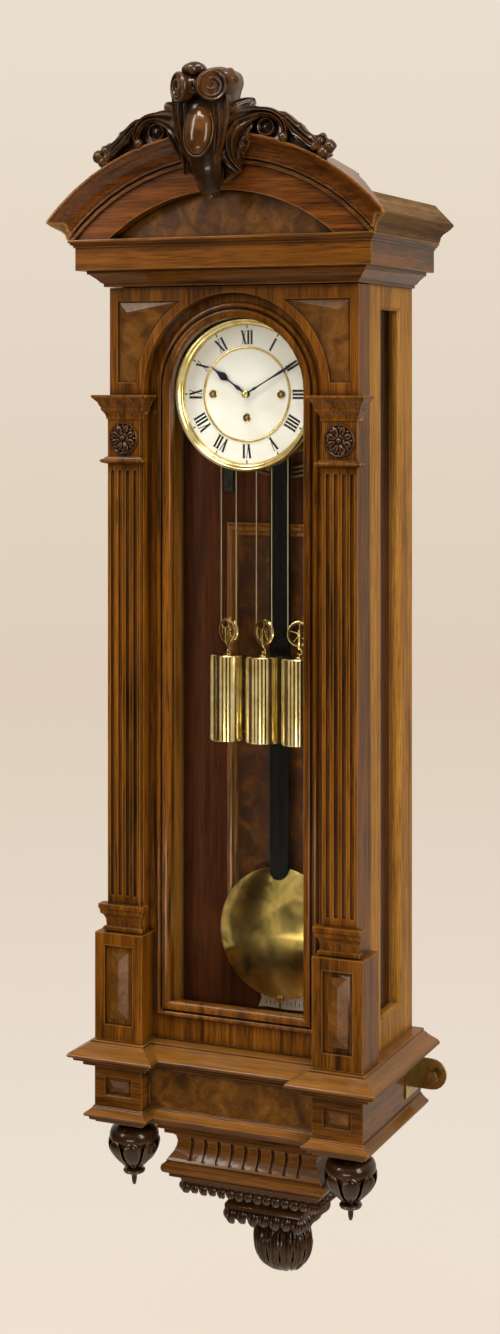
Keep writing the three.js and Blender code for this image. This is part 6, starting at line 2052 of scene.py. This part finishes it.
@dataclass
class Studio:
    """Camera, lamps, background and floor."""

    place: Place = (1.1179, -2.5247, 0.0163)
    turn_deg: float = 22.24
    lens: float = 55.43
    film_mm: float = 36.0
    sight: float = 50.0
    shift: Point = (-0.075, -0.214)
    plan: Sequence[Lamp] = (
        Lamp("key", (-1.7, -2.4, 1.5), (0, -0.15, -0.1), (0.5, 2.4), 32.0),
        Lamp("fill", (2.7, -1.5, 0.7), (0, -0.1, -0.3), (0.9, 2.4), 46.0),
        Lamp("top", (0.2, -1.5, 2.4), (0, -0.15, 0.0), (1.8, 0.7), 46.0, "#FFFAF4"),
        Lamp("low", (0.3, -2.7, -1.3), (0, -0.1, -0.7), (1.4, 0.3), 9.0, "#FFF6EC"),
    )
    paper_foot: str = "#F0E5D7"
    paper_middle: str = "#DECEBB"
    paper_top: str = "#EBDFCF"
    paper_mirrored: float = 0.6
    # Heights, from -1 to 1, between which the paper turns from its foot to its top, and the room's from 0 to 1
    paper_span: Point = (-0.42, 0.19)
    room: Stops = ((0.2, "#5E4C38"), (0.45, "#120E0A"), (0.62, "#16120C"), (0.9, "#B4A896"))
    sky: str = "#F4ECE0"
    sky_low: float = 0.16
    sky_high: float = 0.6
    floor_paint: str = "#C4BAAC"
    floor_glow: float = 0.5
    floor_z: float = -1.75
    floor_radius: float = 2.2
    floor_fade: Point = (0.35, 0.95)

    def build(self) -> None:
        """Set up the photographer's studio."""
        self.camera()
        for lamp in self.plan:
            self.hang(lamp)
        self.paper()
        self.floor()

    def camera(self) -> None:
        """Put the camera where the photographer's stood."""
        data = bpy.data.cameras.new("camera")
        data.lens = self.lens
        data.sensor_width = self.film_mm
        data.shift_x, data.shift_y = self.shift
        data.clip_end = self.sight
        camera = bpy.data.objects.new("camera", data)
        bpy.context.scene.collection.objects.link(camera)
        camera.location = self.place
        camera.rotation_euler = (math.radians(90), 0.0, math.radians(self.turn_deg))
        bpy.context.scene.camera = camera

    @staticmethod
    def hang(plan: Lamp) -> None:
        """Hang a lamp and aim it.

        Args:
            plan: The lamp.
        """
        data = bpy.data.lights.new(plan.name, "AREA")
        data.shape = "RECTANGLE"
        data.size, data.size_y = plan.size
        data.energy = plan.watts
        data.color = linear(plan.colour)[:3]
        lamp = bpy.data.objects.new(plan.name, data)
        bpy.context.scene.collection.objects.link(lamp)
        lamp.location = plan.place
        lamp.rotation_euler = (Vector(plan.aim) - Vector(plan.place)).to_track_quat("-Z", "Y").to_euler()

    def paper(self) -> None:
        """Wrap the studio in pale paper that the camera and the glossy pieces see."""
        world = bpy.data.worlds.new("studio_paper")
        world.use_nodes = True
        tree = world.node_tree
        tree.nodes.clear()
        place = put(tree, "ShaderNodeTexCoord").outputs["Generated"]
        parts = put(tree, "ShaderNodeSeparateXYZ", {"Vector": place}).outputs
        share = put(tree, "ShaderNodeMapRange", {"Value": parts["Z"]},
                    {"From Min": self.paper_span[0], "From Max": self.paper_span[1]})
        sweep = put(tree, "ShaderNodeValToRGB", {"Fac": share.outputs["Result"]},
                    stops=((0.0, self.paper_foot), (0.45, self.paper_middle), (1.0, self.paper_top)))
        paper = put(tree, "ShaderNodeBackground", {"Color": sweep.outputs["Color"]}, {"Strength": 1.0})
        # What polish and brass mirror: the shaded wall behind, and in front a room that is dim at eye level
        wall = put(tree, "ShaderNodeBackground", {"Color": sweep.outputs["Color"]},
                   {"Strength": self.paper_mirrored})
        height = put(tree, "ShaderNodeMapRange", {"Value": parts["Z"]}, {"From Min": -1.0, "From Max": 1.0})
        dusk = put(tree, "ShaderNodeValToRGB", {"Fac": height.outputs["Result"]}, stops=self.room)
        room = put(tree, "ShaderNodeBackground", {"Color": dusk.outputs["Color"]}, {"Strength": 1.0})
        before = put(tree, "ShaderNodeMapRange", {"Value": parts["Y"]}, {"From Min": 0.6, "From Max": 0.0})
        mirror = put(tree, "ShaderNodeMixShader", {0: before.outputs["Result"], 1: wall.outputs["Background"],
                                                   2: room.outputs["Background"]})
        # Light from all round, most of it from above
        gloom = put(tree, "ShaderNodeMapRange", {"Value": parts["Z"]},
                    {"From Min": -1.0, "From Max": 1.0, "To Min": self.sky_low, "To Max": self.sky_high})
        ambient = put(tree, "ShaderNodeBackground", {"Strength": gloom.outputs["Result"]},
                      {"Color": linear(self.sky)})
        rays = put(tree, "ShaderNodeLightPath").outputs
        glossy = put(tree, "ShaderNodeMixShader", {0: rays["Is Glossy Ray"], 1: ambient.outputs["Background"],
                                                   2: mirror.outputs["Shader"]})
        seen = put(tree, "ShaderNodeMath", {0: rays["Is Camera Ray"], 1: rays["Is Transmission Ray"]},
                   operation="MAXIMUM")
        both = put(tree, "ShaderNodeMixShader", {0: seen.outputs["Value"], 1: glossy.outputs["Shader"],
                                                 2: paper.outputs["Background"]})
        put(tree, "ShaderNodeOutputWorld", {"Surface": both.outputs["Shader"]})
        bpy.context.scene.world = world

    def floor(self) -> None:
        """Lay a pale floor below the clock, which fades into the paper at its rim."""
        Bench.clear()
        bpy.ops.mesh.primitive_circle_add(vertices=96, radius=self.floor_radius, fill_type="NGON",
                                          location=(0, 0, self.floor_z))
        disc = bpy.context.object
        disc.name = "studio_floor"
        material, tree, shader = blank("studio_floor_paint", {"Base Color": linear(self.floor_paint),
                                                              "Roughness": 0.9, "Specular IOR Level": 0.0,
                                                              "Emission Color": linear(self.paper_foot)})
        glow = put(tree, "ShaderNodeMath", {0: put(tree, "ShaderNodeLightPath").outputs["Is Camera Ray"]},
                   {1: self.floor_glow}, operation="MULTIPLY")
        wire(tree, shader, {"Emission Strength": glow.outputs["Value"]})
        place = put(tree, "ShaderNodeTexCoord").outputs["Object"]
        reach = put(tree, "ShaderNodeVectorMath", {0: place}, operation="LENGTH")
        start, end = self.floor_fade
        share = put(tree, "ShaderNodeMapRange", {"Value": reach.outputs["Value"]},
                    {"From Min": self.floor_radius * start, "From Max": self.floor_radius * end})
        clear = put(tree, "ShaderNodeBsdfTransparent")
        resurface(tree, put(tree, "ShaderNodeMixShader", {0: share.outputs["Result"], 1: shader.outputs["BSDF"],
                                                          2: clear.outputs["BSDF"]}))
        disc.data.materials.append(material)
        disc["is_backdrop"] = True


def main() -> dict:
    """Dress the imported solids, add the carved, turned and painted pieces, and light them.

    Returns:
        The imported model's and the finished model's bounds.
    """
    logging.basicConfig(level=logging.INFO, format="%(name)s: %(message)s")
    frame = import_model()
    sizes = {"cad": [list(corner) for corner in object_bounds()]}
    bpy.context.scene.view_settings.view_transform = "Standard"
    Studio().build()
    shop = Shop()
    Casework(shop).build(frame["nodes"])
    Clockface(shop).build()
    Pendulum(shop).build()
    Gong(shop).build()
    WeightLane(shop, "left", "a", -51.0, -25.0, -0.3).build()
    WeightLane(shop, "centre", "b", 0.0, -25.0, -30.3).build()
    WeightLane(shop, "right", "c", 51.0, 25.0, -0.3, -1).build()
    Rosettes(shop).build()
    Panels(shop).build()
    Crest(shop).build()
    Underside(shop).build()
    sizes["visual"] = [list(corner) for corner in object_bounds()]
    return sizes


if __name__ == "__main__":
    found = main()
